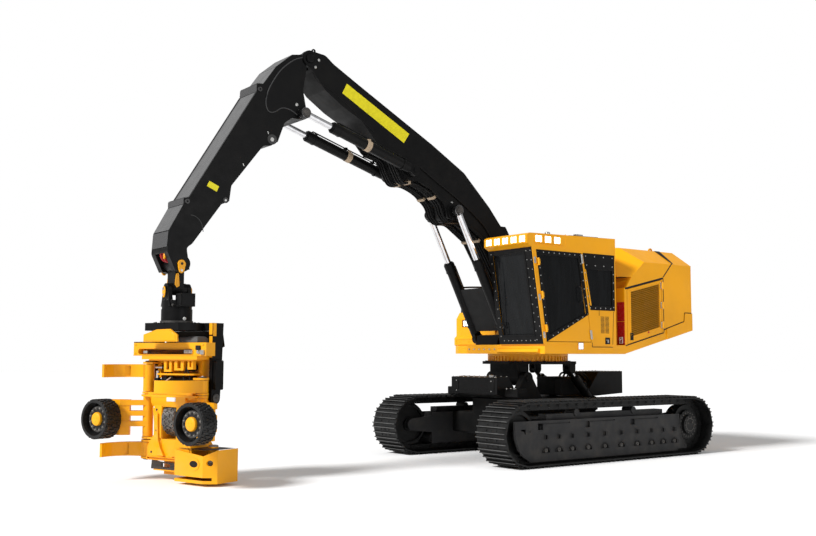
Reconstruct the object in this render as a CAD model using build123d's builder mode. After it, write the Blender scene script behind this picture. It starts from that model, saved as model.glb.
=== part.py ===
# Forestry harvester on crawler tracks, in millimetres.
# +X points forward along the boom, +Y to the cab side, +Z up.
# The origin lies on the slewing axis, on the ground.
import os
from math import atan2, cos, degrees, hypot, radians, sin, tan

from build123d import *

os.makedirs("parts", exist_ok=True)

# Crawler tracks
track_gauge = 2800
track_mid_x = -400
chain_pitch = 215.9
straight_links = 19
arc_links = 6
track_radius = 515
shoe_width = 670
shoe_plate = 20
shoe_gap = 8
grouser_height = 28
grouser_width = 16
link_depth = 105
link_width = 55
link_spacing = 150

# Side frames and car body
frame_width = 380
frame_plate = 25
frame_top = 719
frame_setback = 420
plate_low = 80
roller_radius = 100
roller_opening = 88
roller_xs = (1142, 850, 548, 176, -222, -629, -1031, -1405, -1715, -2018)
window_z = 457
window_size = 72
rail_xs = (956, -112, -1220)
body_half_width = 720
body_bottom = 420
body_top = 1000
body_front = 950
body_rear = -1250
beam_height = 380
beam_length = 520
lug_thickness = 60

# Levelling
level_axle_x = 450
level_axle_z = 1350
level_plate_bottom = 1590
level_plate_thickness = 50
level_plate_radius = 800
level_lug_y = 420
level_pin_radius = 55
level_rod_x = -600
level_rod_z = 1490
level_base_x = -1150
level_base_z = 930
well_floor = 790
level_cylinder_y = 430
level_barrel_radius = 75
level_rod_radius = 42
level_barrel_length = 590
level_base_eye = 72

# Slewing ring and deck
ring_radius = 690
ring_height = 90
deck_bottom = 1770
deck_thickness = 150
deck_half_width = 1500
deck_front = 1060

# Cab
cab_left = 1506
cab_width = 1030
cab_wall = 55
cab_floor = 1920
cab_front_low = 1090
cab_front_high = 1345
cab_rear = -640
cab_roof_low = 3480
cab_roof_high = 3700
cab_visor_front = 1440
glass_thickness = 12
glass_gap = 6
door_gap = 10
door_front_low = 1010
door_rear_low = -30
door_front_high = 1235
door_rear_high = 205

# Engine house
house_wall = 45
house_front = -870
tail_front = -1900
tail_rear = -2700
house_left = 1500
house_base = 1920
floor_plate = 40
underside_rise = 0.2345
seam_front_z = 2905
seam_rise = 0.2226
seam_gap = 8
crest_x = -2165
crest_z = 3385
crest_inset = 400
hood_top = 3660
hood_front = -860
hood_brow = 3132
hood_lip = 3105
hood_recess = 150
hinge_out = 20
hinge_pin = 10
knuckle_radius = 18
hinge_zs = (2290, 2640, 2990)
hood_hinge_xs = (-1800, -1400, -1000)
grille_front = -930
grille_rear = -1865
slat_count = 24

# Boom
beam_width = 550
boom_plate = 16
boom_foot_x = 150
boom_foot_z = 2350
boom_tip_x = 4760
boom_tip_z = 6210
pivot_radius = 70
lift_rod_x = 1930
lift_rod_z = 4130
lift_base_x = 850
lift_base_z = 2035
lift_cylinder_y = 375
lift_barrel_radius = 85
lift_rod_radius = 52
lift_barrel_length = 1440
eye_width = 90
cylinder_boss = 315

# Stick
stick_rod_x = 4890
stick_rod_z = 5330
stick_base_x = 2840
stick_base_z = 4700
stick_barrel_radius = 82
stick_rod_radius = 48
stick_barrel_length = 1640
stick_tip_x = 6745
stick_tip_z = 2980

# Link, rotator and head
head_x = 6690
head_yaw = 20
link_pin_z = 2980
cross_pin_z = 2640
rotator_low = 2170
rotator_high = 2360
rotator_radius = 213
yoke_plate_low = 2065
yoke_radius = 425
tilt_back = -180
tilt_z = 1150
yoke_arm_y = 565
yoke_arm_thickness = 56
tilt_boss = 84
tilt_pin = 55
head_half_width = 430
head_top = 1900
head_bottom = 290
wheel_radius = 275
wheel_width = 250
wheel_forward = 500
wheel_side = 900
wheel_z = 850
arm_pivot_side = 520
spine_roller_radius = 235
spine_roller_width = 230
spine_roller_back = -95
knife_pivot_side = 520
knife_reach = 640
knife_open = 32
saw_pivot_side = 600
saw_pivot_back = -150
saw_z = 100
pin_gap = 6
running_gap = 0.3


def side_plane(y):
    """Plane in side view at a given Y: its own X is +X and its own Y is +Z."""
    return Plane.XZ.offset(-y)


def write(part, name):
    part.label = name
    export_step(part, "parts/" + name + ".step")


def yawed(forward, side, z):
    """A point of the head, given ahead of and to the left of its rotator axis."""
    turn = radians(head_yaw)
    return (
        head_x + forward * cos(turn) - side * sin(turn),
        forward * sin(turn) + side * cos(turn),
        z,
    )


def head_plane(z, forward=0, side=0, turned=0):
    """Level plane at a point of the head: its X runs forward, turned by an angle to the left."""
    turn = radians(head_yaw + turned)
    return Plane(origin=yawed(forward, side, z), x_dir=(cos(turn), sin(turn), 0), z_dir=(0, 0, 1))


def head_front(forward):
    """Upright plane that faces the head's opening: its X runs to the left, its Y up."""
    turn = radians(head_yaw)
    return Plane(
        origin=yawed(forward, 0, 0),
        x_dir=(-sin(turn), cos(turn), 0),
        z_dir=(cos(turn), sin(turn), 0),
    )


def head_side(side):
    """Upright plane along the head: its X runs forward, its Y up."""
    turn = radians(head_yaw)
    return Plane(
        origin=yawed(0, side, 0),
        x_dir=(cos(turn), sin(turn), 0),
        z_dir=(sin(turn), -cos(turn), 0),
    )


# Track loop: links in order, each by its middle and the angle it lies at
pitch_radius = chain_pitch / (2 * sin(radians(90 / arc_links)))
half_base = straight_links * chain_pitch / 2
axle_z = track_radius
plate_under = track_radius - pitch_radius - grouser_height - shoe_plate
link_inner = plate_under - link_depth
arc_step = 180 / arc_links
chord_radius = pitch_radius * cos(radians(arc_step / 2))


def loop_corners(reach):
    """Corners of the loop at a distance outside the pins."""
    corners = []
    radius = pitch_radius + reach
    for centre_x, first in ((track_mid_x + half_base, -90), (track_mid_x - half_base, 90)):
        for step in range(arc_links + 1):
            angle = radians(first + step * arc_step)
            corners.append((centre_x + radius * cos(angle), axle_z + radius * sin(angle)))
    return corners


def loop_links():
    """Middle and direction of each link round the loop, starting at the bottom rear."""
    links = []
    for step in range(straight_links):
        along = (step + 0.5) * chain_pitch
        links.append((track_mid_x - half_base + along, axle_z - pitch_radius, 0))
    for step in range(arc_links):
        angle = -90 + (step + 0.5) * arc_step
        turn = radians(angle)
        links.append((
            track_mid_x + half_base + chord_radius * cos(turn), axle_z + chord_radius * sin(turn),
            angle + 90,
        ))
    for step in range(straight_links):
        along = (step + 0.5) * chain_pitch
        links.append((track_mid_x + half_base - along, axle_z + pitch_radius, 180))
    for step in range(arc_links):
        angle = 90 + (step + 0.5) * arc_step
        turn = radians(angle)
        links.append((
            track_mid_x - half_base + chord_radius * cos(turn), axle_z + chord_radius * sin(turn),
            angle + 90,
        ))
    return links


def shoe_outline():
    """Outer outline of the loop: a plate with three grousers on each link."""
    half = (chain_pitch - shoe_gap) / 2
    tip = plate_under + shoe_plate + grouser_height
    base = plate_under + shoe_plate
    starts = (-half, -grouser_width / 2, half - grouser_width)
    points = []
    for x, z, angle in loop_links():
        turn = radians(angle)
        for start in starts:
            for along, out in (
                (start, base), (start, tip), (start + grouser_width, tip), (start + grouser_width, base)
            ):
                points.append((
                    x + along * cos(turn) + out * sin(turn), z + along * sin(turn) - out * cos(turn)
                ))
    return points


for side, name in ((1, "left"), (-1, "right")):
    mid = side * track_gauge / 2
    with BuildPart() as track:
        with BuildSketch(side_plane(mid)):
            with BuildLine():
                Polyline(*shoe_outline(), close=True)
            make_face()
            with BuildLine():
                Polyline(*loop_corners(plate_under), close=True)
            make_face(mode=Mode.SUBTRACT)
        extrude(amount=shoe_width / 2, both=True)
        for offset_y in (-link_spacing / 2, link_spacing / 2):
            with BuildSketch(side_plane(mid + offset_y)):
                with BuildLine():
                    Polyline(*loop_corners(plate_under), close=True)
                make_face()
                with BuildLine():
                    Polyline(*loop_corners(link_inner), close=True)
                make_face(mode=Mode.SUBTRACT)
            extrude(amount=link_width / 2, both=True)
    write(track.part, "track_" + name)

tread_radius = (pitch_radius + link_inner) * cos(radians(arc_step / 2)) - 1
flange_width = link_spacing - link_width - 14
wheel_half = link_spacing / 2 + link_width / 2 + 6
run_low = axle_z - pitch_radius - link_inner

with BuildPart() as idlers:
    for side in (1, -1):
        mid = side * track_gauge / 2
        idler_plane = Plane(
            origin=(track_mid_x + half_base, mid, axle_z), x_dir=(1, 0, 0), z_dir=(0, -1, 0)
        )
        with BuildSketch(idler_plane):
            Circle(tread_radius)
            Circle(55, mode=Mode.SUBTRACT)
        extrude(amount=wheel_half, both=True)
        with BuildSketch(idler_plane):
            Circle(tread_radius + 40)
            Circle(tread_radius - 60, mode=Mode.SUBTRACT)
        extrude(amount=flange_width / 2, both=True)
        for face in (1, -1):
            with BuildSketch(idler_plane.offset(face * wheel_half)):
                Circle(tread_radius - 45)
                Circle(120, mode=Mode.SUBTRACT)
            extrude(amount=-face * 45, mode=Mode.SUBTRACT)
write(idlers.part, "idlers")

tooth_count = 2 * arc_links
with BuildPart() as sprockets:
    for side in (1, -1):
        mid = side * track_gauge / 2
        hub_plane = Plane(
            origin=(track_mid_x - half_base, mid, axle_z), x_dir=(1, 0, 0), z_dir=(0, side, 0)
        )
        with BuildSketch(hub_plane):
            Circle(tread_radius)
        extrude(amount=wheel_half, both=True)
        with BuildSketch(hub_plane):
            Circle(tread_radius + 5)
            with PolarLocations(tread_radius + 20, tooth_count, start_angle=arc_step / 2):
                Trapezoid(60, 70, 68, rotation=-90)
        extrude(amount=flange_width / 2, both=True)
        with BuildSketch(hub_plane.offset(wheel_half)):
            Circle(250)
            with PolarLocations(250, 24):
                Rectangle(22, 30)
        extrude(amount=50)
        with BuildSketch(hub_plane.offset(wheel_half + 50)):
            Circle(175)
        extrude(amount=45, taper=12)
write(sprockets.part, "sprockets")

# Outer plate of a side frame, hollowed at its rear round the drive hub, as (x, z)
plate_corners = [
    (1836, frame_top), (1830, 476), (1720, 199), (1500, plate_low), (-150, plate_low), (-2365, 112),
    (-2230, 340), (-2178, 520), (-2170, frame_top),
]
for side, name in ((1, "left"), (-1, "right")):
    mid = side * track_gauge / 2
    half = frame_width / 2
    front = track_mid_x + half_base - frame_setback
    rear = track_mid_x - half_base + frame_setback
    roller_z = run_low + roller_radius + running_gap
    body_low = roller_z + roller_radius + 7
    with BuildPart() as side_frame:
        with BuildSketch(side_plane(mid)):
            with BuildLine():
                Polyline(
                    (rear, body_low), (front, body_low), (front, frame_top - 100), (front - 140, frame_top),
                    (rear + 140, frame_top), (rear, frame_top - 120), close=True,
                )
            make_face()
        extrude(amount=half - frame_plate, both=True)
        with BuildSketch(side_plane(mid)):
            with Locations((track_mid_x, frame_top + 45)):
                Rectangle(front - rear - 400, 90)
        extrude(amount=90, both=True)
        with BuildSketch(side_plane(mid + side * half)):
            with BuildLine():
                Polyline(*plate_corners, close=True)
            make_face()
            with Locations(*[(x, roller_z - 38) for x in roller_xs]):
                Circle(roller_opening, mode=Mode.SUBTRACT)
            with Locations(((roller_xs[0] + roller_xs[-1]) / 2, plate_low + 67)):
                Rectangle(roller_xs[0] - roller_xs[-1] + 2 * roller_opening + 20, 134)
            with BuildLine():
                Polyline(
                    (1750, plate_low - 60), (1750, 280), (1500, plate_low), (-150, plate_low - 60),
                    close=True,
                )
            make_face(mode=Mode.SUBTRACT)
        extrude(amount=side * frame_plate)
        with BuildSketch(side_plane(mid - side * half)):
            with Locations((track_mid_x, (frame_top + 170) / 2)):
                Rectangle(front - rear - 20, frame_top - 170)
        extrude(amount=-side * frame_plate)
        with BuildSketch(side_plane(mid)):
            with Locations(*[(x, roller_z) for x in roller_xs]):
                Circle(roller_radius)
        extrude(amount=half - 40, both=True)
        with BuildSketch(side_plane(mid)):
            with Locations(*[(x, roller_z) for x in roller_xs]):
                Circle(38)
        extrude(amount=half - 5, both=True)
        with BuildSketch(side_plane(mid + side * half)):
            with Locations(*[(x, window_z) for x in roller_xs]):
                Rectangle(window_size, window_size)
            with Locations((1627, 555)):
                Rectangle(96, 80)
            with Locations(*[(x + 300, frame_top - 95) for x in rail_xs]):
                Rectangle(110, 100)
        extrude(amount=side * 40, mode=Mode.SUBTRACT)
        with BuildSketch(side_plane(mid + side * half)):
            with Locations(*[(x, frame_top - 48) for x in rail_xs]):
                Rectangle(720, 22)
        extrude(amount=side * 15, mode=Mode.SUBTRACT)
        with BuildSketch(side_plane(mid - side * (half - 18))):
            with BuildLine():
                Polyline(
                    (front - 40, axle_z - 150), (track_mid_x + half_base, axle_z - 105),
                    (track_mid_x + half_base, axle_z + 105), (front - 40, axle_z + 150), close=True,
                )
            make_face()
            with Locations((track_mid_x + half_base, axle_z)):
                Circle(105)
        extrude(amount=18, both=True)
        with BuildSketch(side_plane(mid)):
            with Locations((track_mid_x + half_base, axle_z)):
                Circle(54)
        extrude(amount=half, both=True)
        inner = mid - side * (wheel_half + 25)
        with BuildSketch(side_plane(inner)):
            with BuildLine():
                Polyline(
                    (rear + 30, axle_z - 150), (track_mid_x - half_base, axle_z - 230),
                    (track_mid_x - half_base, axle_z + 230), (rear + 30, axle_z + 190), close=True,
                )
            make_face()
            with Locations((track_mid_x - half_base, axle_z)):
                Circle(230)
        extrude(amount=25 - running_gap, both=True)
        carrier_z = axle_z + pitch_radius + link_inner - 62
        for x in (track_mid_x - 650, track_mid_x + 750):
            with BuildSketch(side_plane(mid)):
                with Locations((x, carrier_z)):
                    Circle(60)
            extrude(amount=wheel_half, both=True)
    write(side_frame.part, "side_frame_" + name)

frame_inner = track_gauge / 2 - frame_width / 2
with BuildPart() as car_body:
    with BuildSketch(Plane.XY.offset(body_bottom)):
        with BuildLine():
            Polyline(
                (body_front, -400), (body_front, 400), (body_front - 320, body_half_width),
                (body_rear + 320, body_half_width), (body_rear, 400), (body_rear, -400),
                (body_rear + 320, -body_half_width), (body_front - 320, -body_half_width), close=True,
            )
        make_face()
    extrude(amount=body_top - body_bottom)
    for beam_x in (body_front - 480, body_rear + 480):
        with BuildSketch(Plane.XZ.offset(-frame_inner)):
            with Locations((beam_x, body_bottom + beam_height / 2 - 60)):
                RectangleRounded(beam_length, beam_height, 40)
        extrude(amount=2 * frame_inner)
    with BuildSketch(Plane.XY.offset(body_top)):
        with Locations((level_base_x + 40, level_cylinder_y), (level_base_x + 40, -level_cylinder_y)):
            Rectangle(460, 240)
    extrude(amount=well_floor - body_top, mode=Mode.SUBTRACT)
    for lug_y in (level_lug_y, -level_lug_y):
        with BuildSketch(side_plane(lug_y)):
            with BuildLine():
                Polyline(
                    (level_axle_x - 330, body_top), (level_axle_x + 330, body_top),
                    (level_axle_x + 110, level_axle_z), (level_axle_x - 110, level_axle_z), close=True,
                )
            make_face()
            with Locations((level_axle_x, level_axle_z)):
                Circle(110)
                Circle(level_pin_radius, mode=Mode.SUBTRACT)
        extrude(amount=lug_thickness, both=True)
    for cylinder_y in (level_cylinder_y, -level_cylinder_y):
        for lug_side in (-1, 1):
            lug_y = cylinder_y + lug_side * (eye_width / 2 + 5 + 20)
            with BuildSketch(side_plane(lug_y)):
                with Locations((level_base_x, level_base_z)):
                    Circle(85)
                with Locations((level_base_x, (level_base_z + well_floor) / 2 - 10)):
                    Rectangle(170, level_base_z - well_floor + 20)
            extrude(amount=20, both=True)
        with BuildSketch(side_plane(cylinder_y)):
            with Locations((level_base_x, level_base_z)):
                Circle(level_base_eye * 0.45 - 0.05)
        extrude(amount=eye_width / 2 + 30, both=True)
write(car_body.part, "car_body")

tow_r = 35
tow_thickness = 50
with BuildPart() as tow_eyes:
    for x, outward in ((body_front, 1), (body_rear, -1)):
        with BuildSketch(Plane.XY.offset(body_bottom + 130)):
            with Locations((x + outward * 75, 0)):
                Rectangle(150, 150)
            with Locations((x + outward * 150, 0)):
                Circle(75)
                Circle(tow_r, mode=Mode.SUBTRACT)
        extrude(amount=tow_thickness / 2, both=True)
write(tow_eyes.part, "tow_eyes")

with BuildPart() as body_boxes:
    with BuildSketch(side_plane(0)):
        with BuildLine():
            Polyline(
                (body_front - 60, body_top), (body_front + 320, body_top + 90),
                (body_front + 320, body_top + 370), (body_front + 60, body_top + 385),
                (body_front - 60, body_top + 200), close=True,
            )
        make_face()
    extrude(amount=590, both=True)
    with BuildSketch(side_plane(0)):
        with BuildLine():
            Polyline(
                (body_front - 60, body_top), (body_front + 150, body_top + 60),
                (body_front + 150, body_top + 190),
                (body_front - 60, body_top + 190), close=True,
            )
        make_face()
    extrude(amount=900, both=True)
    with BuildSketch(side_plane(0)):
        with BuildLine():
            Polyline(
                (body_rear + 120, body_top), (body_rear - 50, body_top + 225),
                (body_rear - 235, body_top + 447),
                (body_rear - 880, body_top + 454), (body_rear - 880, body_top + 45), (body_rear, body_top),
                close=True,
            )
        make_face()
    extrude(amount=325, both=True)
write(body_boxes.part, "body_boxes")

with BuildPart() as level_frame:
    with BuildSketch(Plane.XY.offset(level_plate_bottom)):
        with Locations((0, 0)):
            RegularPolygon(level_plate_radius, 8, rotation=22.5)
        with Locations((level_axle_x, 0)):
            Rectangle(500, 2 * level_lug_y)
        with Locations((level_rod_x + 60, 0)):
            Rectangle(280, 2 * level_cylinder_y + 200)
    extrude(amount=level_plate_thickness)
    inner_y = level_lug_y - lug_thickness - pin_gap
    with BuildSketch(side_plane(0)):
        with Locations((level_axle_x, level_axle_z)):
            Circle(130)
        with Locations((level_axle_x, (level_axle_z + level_plate_bottom) / 2)):
            Rectangle(260, level_plate_bottom - level_axle_z)
    extrude(amount=inner_y, both=True)
    with BuildSketch(side_plane(0)):
        with Locations((level_axle_x, level_axle_z)):
            Circle(level_pin_radius - 0.05)
    extrude(amount=level_lug_y + lug_thickness + 20, both=True)
    for cylinder_y in (level_cylinder_y, -level_cylinder_y):
        for lug_side in (-1, 1):
            lug_y = cylinder_y + lug_side * (eye_width / 2 + 5 + 20)
            with BuildSketch(side_plane(lug_y)):
                with Locations((level_rod_x, level_rod_z)):
                    Circle(70)
                with Locations((level_rod_x, (level_rod_z + level_plate_bottom) / 2)):
                    Rectangle(140, level_plate_bottom - level_rod_z)
            extrude(amount=20, both=True)
write(level_frame.part, "level_frame")

with BuildPart() as slew_ring:
    with BuildSketch(Plane.XY.offset(level_plate_bottom + level_plate_thickness)):
        Circle(ring_radius)
        with PolarLocations(ring_radius, 60):
            Rectangle(36, 34)
        Circle(ring_radius - 110, mode=Mode.SUBTRACT)
    extrude(amount=ring_height)
write(slew_ring.part, "slew_ring")


def along(start, end, reach):
    """Point at a distance from start towards end, in side view."""
    span = hypot(end[0] - start[0], end[1] - start[1])
    return (start[0] + (end[0] - start[0]) * reach / span, start[1] + (end[1] - start[1]) * reach / span)


def axis_plane(y, start, end):
    """Plane square to the line from start to end, at start."""
    return Plane(
        origin=(start[0], y, start[1]), x_dir=(0, 1, 0), z_dir=(end[0] - start[0], 0, end[1] - start[1])
    )


def make_barrels(name, base, rod, side_ys, radius, rod_radius, length, eye):
    """Barrels with their base eyes and end glands, one solid each."""
    with BuildPart() as barrels:
        for y in side_ys:
            at_base = axis_plane(y, base, rod)
            with BuildSketch(side_plane(y)):
                with Locations(base):
                    Circle(eye)
            extrude(amount=eye_width / 2, both=True)
            with BuildSketch(at_base):
                Rectangle(eye_width, eye * 1.5)
            extrude(amount=eye + 40)
            with BuildSketch(at_base.offset(eye + 30)):
                Circle(radius)
            extrude(amount=length - eye - 30)
            with BuildSketch(at_base.offset(length - 130)):
                Circle(radius + 8)
            extrude(amount=130)
            with BuildSketch(side_plane(y)):
                with Locations(base):
                    Circle(eye * 0.45)
            extrude(amount=eye_width, both=True, mode=Mode.SUBTRACT)
            with BuildSketch(at_base.offset(eye + 60)):
                Circle(rod_radius + running_gap)
            extrude(amount=length, mode=Mode.SUBTRACT)
    write(barrels.part, name)


def make_rods(name, base, rod, side_ys, rod_radius, length, eye, stroke_in):
    """Rods with their eyes, each filled by the pin it carries."""
    span = hypot(rod[0] - base[0], rod[1] - base[1])
    with BuildPart() as rods:
        for y in side_ys:
            at_rod = axis_plane(y, rod, base)
            with BuildSketch(at_rod):
                Circle(rod_radius)
            extrude(amount=span - length + stroke_in)
            with BuildSketch(side_plane(y)):
                with Locations(rod):
                    Circle(eye)
            extrude(amount=eye_width / 2, both=True)
    write(rods.part, name)


level_ys = (level_cylinder_y, -level_cylinder_y)
level_base = (level_base_x, level_base_z)
level_rod = (level_rod_x, level_rod_z)
make_barrels(
    "level_barrels", level_base, level_rod, level_ys, level_barrel_radius, level_rod_radius,
    level_barrel_length, level_base_eye,
)
make_rods("level_rods", level_base, level_rod, level_ys, level_rod_radius, level_barrel_length, 62, 350)

lift_ys = (lift_cylinder_y, -lift_cylinder_y)
lift_base = (lift_base_x, lift_base_z)
lift_rod = (lift_rod_x, lift_rod_z)
make_barrels(
    "lift_barrels", lift_base, lift_rod, lift_ys, lift_barrel_radius, lift_rod_radius,
    lift_barrel_length, 95,
)
make_rods("lift_rods", lift_base, lift_rod, lift_ys, lift_rod_radius, lift_barrel_length, 85, 560)

stick_base = (stick_base_x, stick_base_z)
stick_rod = (stick_rod_x, stick_rod_z)
make_barrels(
    "stick_barrels", stick_base, stick_rod, lift_ys, stick_barrel_radius, stick_rod_radius,
    stick_barrel_length, 90,
)
make_rods("stick_rods", stick_base, stick_rod, lift_ys, stick_rod_radius, stick_barrel_length, 80, 1150)

guard_low = 160
guard_high = 960
guard_half = lift_cylinder_y - (lift_barrel_radius ** 2 - 22 ** 2) ** 0.5 - running_gap
with BuildPart() as cylinder_guard:
    at_base = axis_plane(0, lift_base, lift_rod)
    with BuildSketch(at_base.offset(guard_low)):
        with Locations((0, -30)):
            Rectangle(2 * guard_half, 16)
    extrude(amount=guard_high - guard_low)
write(cylinder_guard.part, "cylinder_guard")

# House: its underside and the seam under the hood both climb towards the rear
def under_at(x):
    return deck_bottom + 5 + underside_rise * (house_front - x)


def seam_at(x):
    return seam_front_z + seam_rise * (house_front - x)


def facet_plane(side, depth):
    """Plane of the hood's cut front corner, or one at a depth inside it."""
    corner = (-1039, side * house_left, 3094)
    normal = (45.97, side * 61.69, 56.62)
    size = hypot(*normal)
    return Plane(origin=[place - depth * part / size for place, part in zip(corner, normal)], z_dir=normal)


def hood_hinge_plane(x):
    """Plane square to the hood's hinge line, which follows the right seam: X inward, Y up."""
    return Plane(
        origin=(x, -house_left - hinge_out, seam_at(x)), x_dir=(0, 1, 0), z_dir=(1, 0, -seam_rise)
    )


floor_start = house_front - (house_base - floor_plate - deck_bottom - 5) / underside_rise
with BuildPart() as deck:
    with BuildSketch(Plane.XY.offset(deck_bottom)):
        with BuildLine():
            Polyline(
                (floor_start, -deck_half_width), (420, -deck_half_width), (480, -1350), (480, -420),
                (deck_front, -420), (deck_front, deck_half_width), (floor_start, deck_half_width), close=True,
            )
        make_face()
    extrude(amount=deck_thickness)
    with BuildSketch(side_plane(0)):
        with BuildLine():
            Polyline(
                (house_front, deck_bottom - 1), (house_front, under_at(house_front)),
                (floor_start - 1, under_at(floor_start - 1)), (floor_start - 1, deck_bottom - 1), close=True,
            )
        make_face()
    extrude(amount=deck_half_width + 1, both=True, mode=Mode.SUBTRACT)
    with BuildSketch(Plane.XY.offset(deck_bottom)):
        Circle(ring_radius + 20)
    extrude(amount=-(deck_bottom - level_plate_bottom - level_plate_thickness - ring_height) + running_gap)
    bracket_y = beam_width / 2 + pin_gap
    for y in (bracket_y + 30, -bracket_y - 30):
        with BuildSketch(side_plane(y)):
            with BuildLine():
                Polyline(
                    (boom_foot_x - 430, house_base - 20), (boom_foot_x + 430, house_base - 20),
                    (boom_foot_x + 130, boom_foot_z + 60), (boom_foot_x - 130, boom_foot_z + 60), close=True,
                )
            make_face()
            with Locations((boom_foot_x, boom_foot_z)):
                Circle(150)
        extrude(amount=30, both=True)
    with BuildSketch(side_plane(0)):
        with Locations((boom_foot_x, boom_foot_z)):
            Circle(pivot_radius - 0.05)
    extrude(amount=bracket_y + 75, both=True)
    with BuildSketch(side_plane(0)):
        with BuildLine():
            Polyline(
                (boom_foot_x + 430, house_base - 20), (lift_base_x + 130, house_base - 20),
                (lift_base_x + 90, lift_base_z + 50), (lift_base_x - 60, lift_base_z + 60),
                (boom_foot_x + 430, lift_base_z + 20), close=True,
            )
        make_face()
    extrude(amount=lift_cylinder_y - lift_barrel_radius - 20, both=True)
    with BuildSketch(side_plane(0)):
        with Locations((lift_base_x, lift_base_z)):
            Circle(62)
    extrude(amount=cylinder_boss, both=True)
    with BuildSketch(side_plane(0)):
        with Locations((lift_base_x, lift_base_z)):
            Circle(95 * 0.45 - 0.05)
    extrude(amount=lift_cylinder_y + eye_width / 2 + 10, both=True)
write(deck.part, "deck")

with BuildPart() as side_tank:
    with BuildSketch(Plane.XZ.offset(420)):
        with BuildLine():
            FilletPolyline(
                (house_front + 5, house_base), (450, house_base), (450, 2060), (400, 2100), (400, 2420),
                (320, 2540), (house_front + 5, 2600), radius=18, close=True,
            )
        make_face()
    extrude(amount=deck_half_width - 420)
    with BuildSketch(Plane.YZ.offset(400)):
        with Locations((-1130, 2330)):
            RectangleRounded(420, 150, 20)
    extrude(amount=-60, mode=Mode.SUBTRACT)
write(side_tank.part, "side_tank")

# Counterweight: side view of its upper housing, then of the thicker block below, as (x, z)
tail_outline = [
    (tail_front, under_at(tail_front)), (tail_rear, under_at(tail_rear)), (tail_rear, 3390),
    (tail_rear + 20, hood_top), (crest_x, hood_top), (crest_x, crest_z + 15),
    (tail_front, seam_at(tail_front)),
]
block_outline = [
    (-1973, under_at(-1973)), (-1973, 2219), (-2481, 2358), (-2499, 2512), (tail_rear - 22, 2512),
    (tail_rear - 22, under_at(tail_rear - 22)),
]
with BuildPart() as counterweight:
    with BuildSketch(side_plane(0)):
        with BuildLine():
            Polyline(*tail_outline, close=True)
        make_face()
    extrude(amount=house_left, both=True)
    with BuildSketch(Plane.YZ.offset(tail_rear + house_wall)):
        with BuildLine():
            Polyline(
                (-house_left + house_wall, 2560), (house_left - house_wall, 2560),
                (house_left - house_wall, crest_z - 25),
                (house_left - crest_inset - 15, hood_top - house_wall),
                (-house_left + crest_inset + 15, hood_top - house_wall),
                (-house_left + house_wall, crest_z - 25),
                close=True,
            )
        make_face()
    extrude(amount=tail_front - tail_rear, mode=Mode.SUBTRACT)
    with BuildSketch(Plane.YZ.offset(tail_rear)):
        for side in (1, -1):
            with BuildLine():
                Polyline(
                    (side * house_left, crest_z), (side * (house_left + 20), crest_z),
                    (side * (house_left + 20), hood_top + 20),
                    (side * (house_left - crest_inset - 29), hood_top + 20),
                    close=True,
                )
            make_face()
    extrude(amount=tail_front - tail_rear, mode=Mode.SUBTRACT)
    with BuildSketch(side_plane(0)):
        with BuildLine():
            Polyline(*block_outline, close=True)
        make_face()
    extrude(amount=house_left + 15, both=True)
    fillet(counterweight.edges().filter_by(Axis.Z).filter_by(lambda e: e.center().X < tail_rear - 20), 30)
write(counterweight.part, "counterweight")

with BuildPart() as engine_house:
    with BuildSketch(side_plane(0)):
        with BuildLine():
            Polyline(
                (house_front, house_base), (floor_start, house_base), (floor_start, under_at(floor_start)),
                (tail_front, under_at(tail_front)), (tail_front, seam_at(tail_front)),
                (house_front, seam_at(house_front)), close=True,
            )
        make_face()
    extrude(amount=house_left, both=True)
    with BuildSketch(side_plane(0)):
        with BuildLine():
            Polyline(
                (house_front - house_wall, house_base - 1), (floor_start, house_base - 1),
                (floor_start, house_base + 0.01),
                (tail_front + house_wall, under_at(tail_front + house_wall) + floor_plate),
                (tail_front + house_wall, seam_at(tail_front) + 50),
                (hood_front - hood_recess - house_wall, 3200),
                (hood_front - hood_recess - house_wall, seam_at(hood_front - hood_recess) - 45),
                (house_front - house_wall, seam_at(house_front) - 45), close=True,
            )
        make_face()
    extrude(amount=house_left - house_wall, both=True, mode=Mode.SUBTRACT)
    with BuildSketch(side_plane(house_left)):
        with BuildLine():
            Polyline(
                (grille_front, under_at(grille_front) + 140), (grille_rear, under_at(grille_rear) + 140),
                (grille_rear, seam_at(grille_rear) - 25), (grille_front, seam_at(grille_front) - 25),
                close=True,
            )
        make_face()
    extrude(amount=house_wall * 2, both=True, mode=Mode.SUBTRACT)
    with BuildSketch(side_plane(-house_left)):
        with Locations(((grille_front + grille_rear) / 2, 2480)):
            Rectangle(760, 600)
            with GridLocations(0, 75, 1, 7):
                Rectangle(770, 30, mode=Mode.SUBTRACT)
    extrude(amount=house_wall * 2, both=True, mode=Mode.SUBTRACT)
    for z in hinge_zs:
        for low in (z - 60, z + 40):
            with BuildSketch(Plane.XY.offset(low)):
                with Locations((grille_rear - 5, house_left + hinge_out)):
                    Circle(knuckle_radius)
                with Locations((grille_rear - 18, house_left + hinge_out / 2 - 2)):
                    Rectangle(26, hinge_out + 4)
            extrude(amount=20)
        with BuildSketch(Plane.XY.offset(z - 60)):
            with Locations((grille_rear - 5, house_left + hinge_out)):
                Circle(hinge_pin - 0.05)
        extrude(amount=120)
    for x in hood_hinge_xs:
        for low in (-60, 40):
            with BuildSketch(hood_hinge_plane(x).offset(low)):
                Circle(knuckle_radius)
                with Locations((hinge_out / 2, -15)):
                    Rectangle(hinge_out + 4, 26)
            extrude(amount=20)
        with BuildSketch(hood_hinge_plane(x).offset(-60)):
            Circle(hinge_pin - 0.05)
        extrude(amount=120)
write(engine_house.part, "engine_house")

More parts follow.
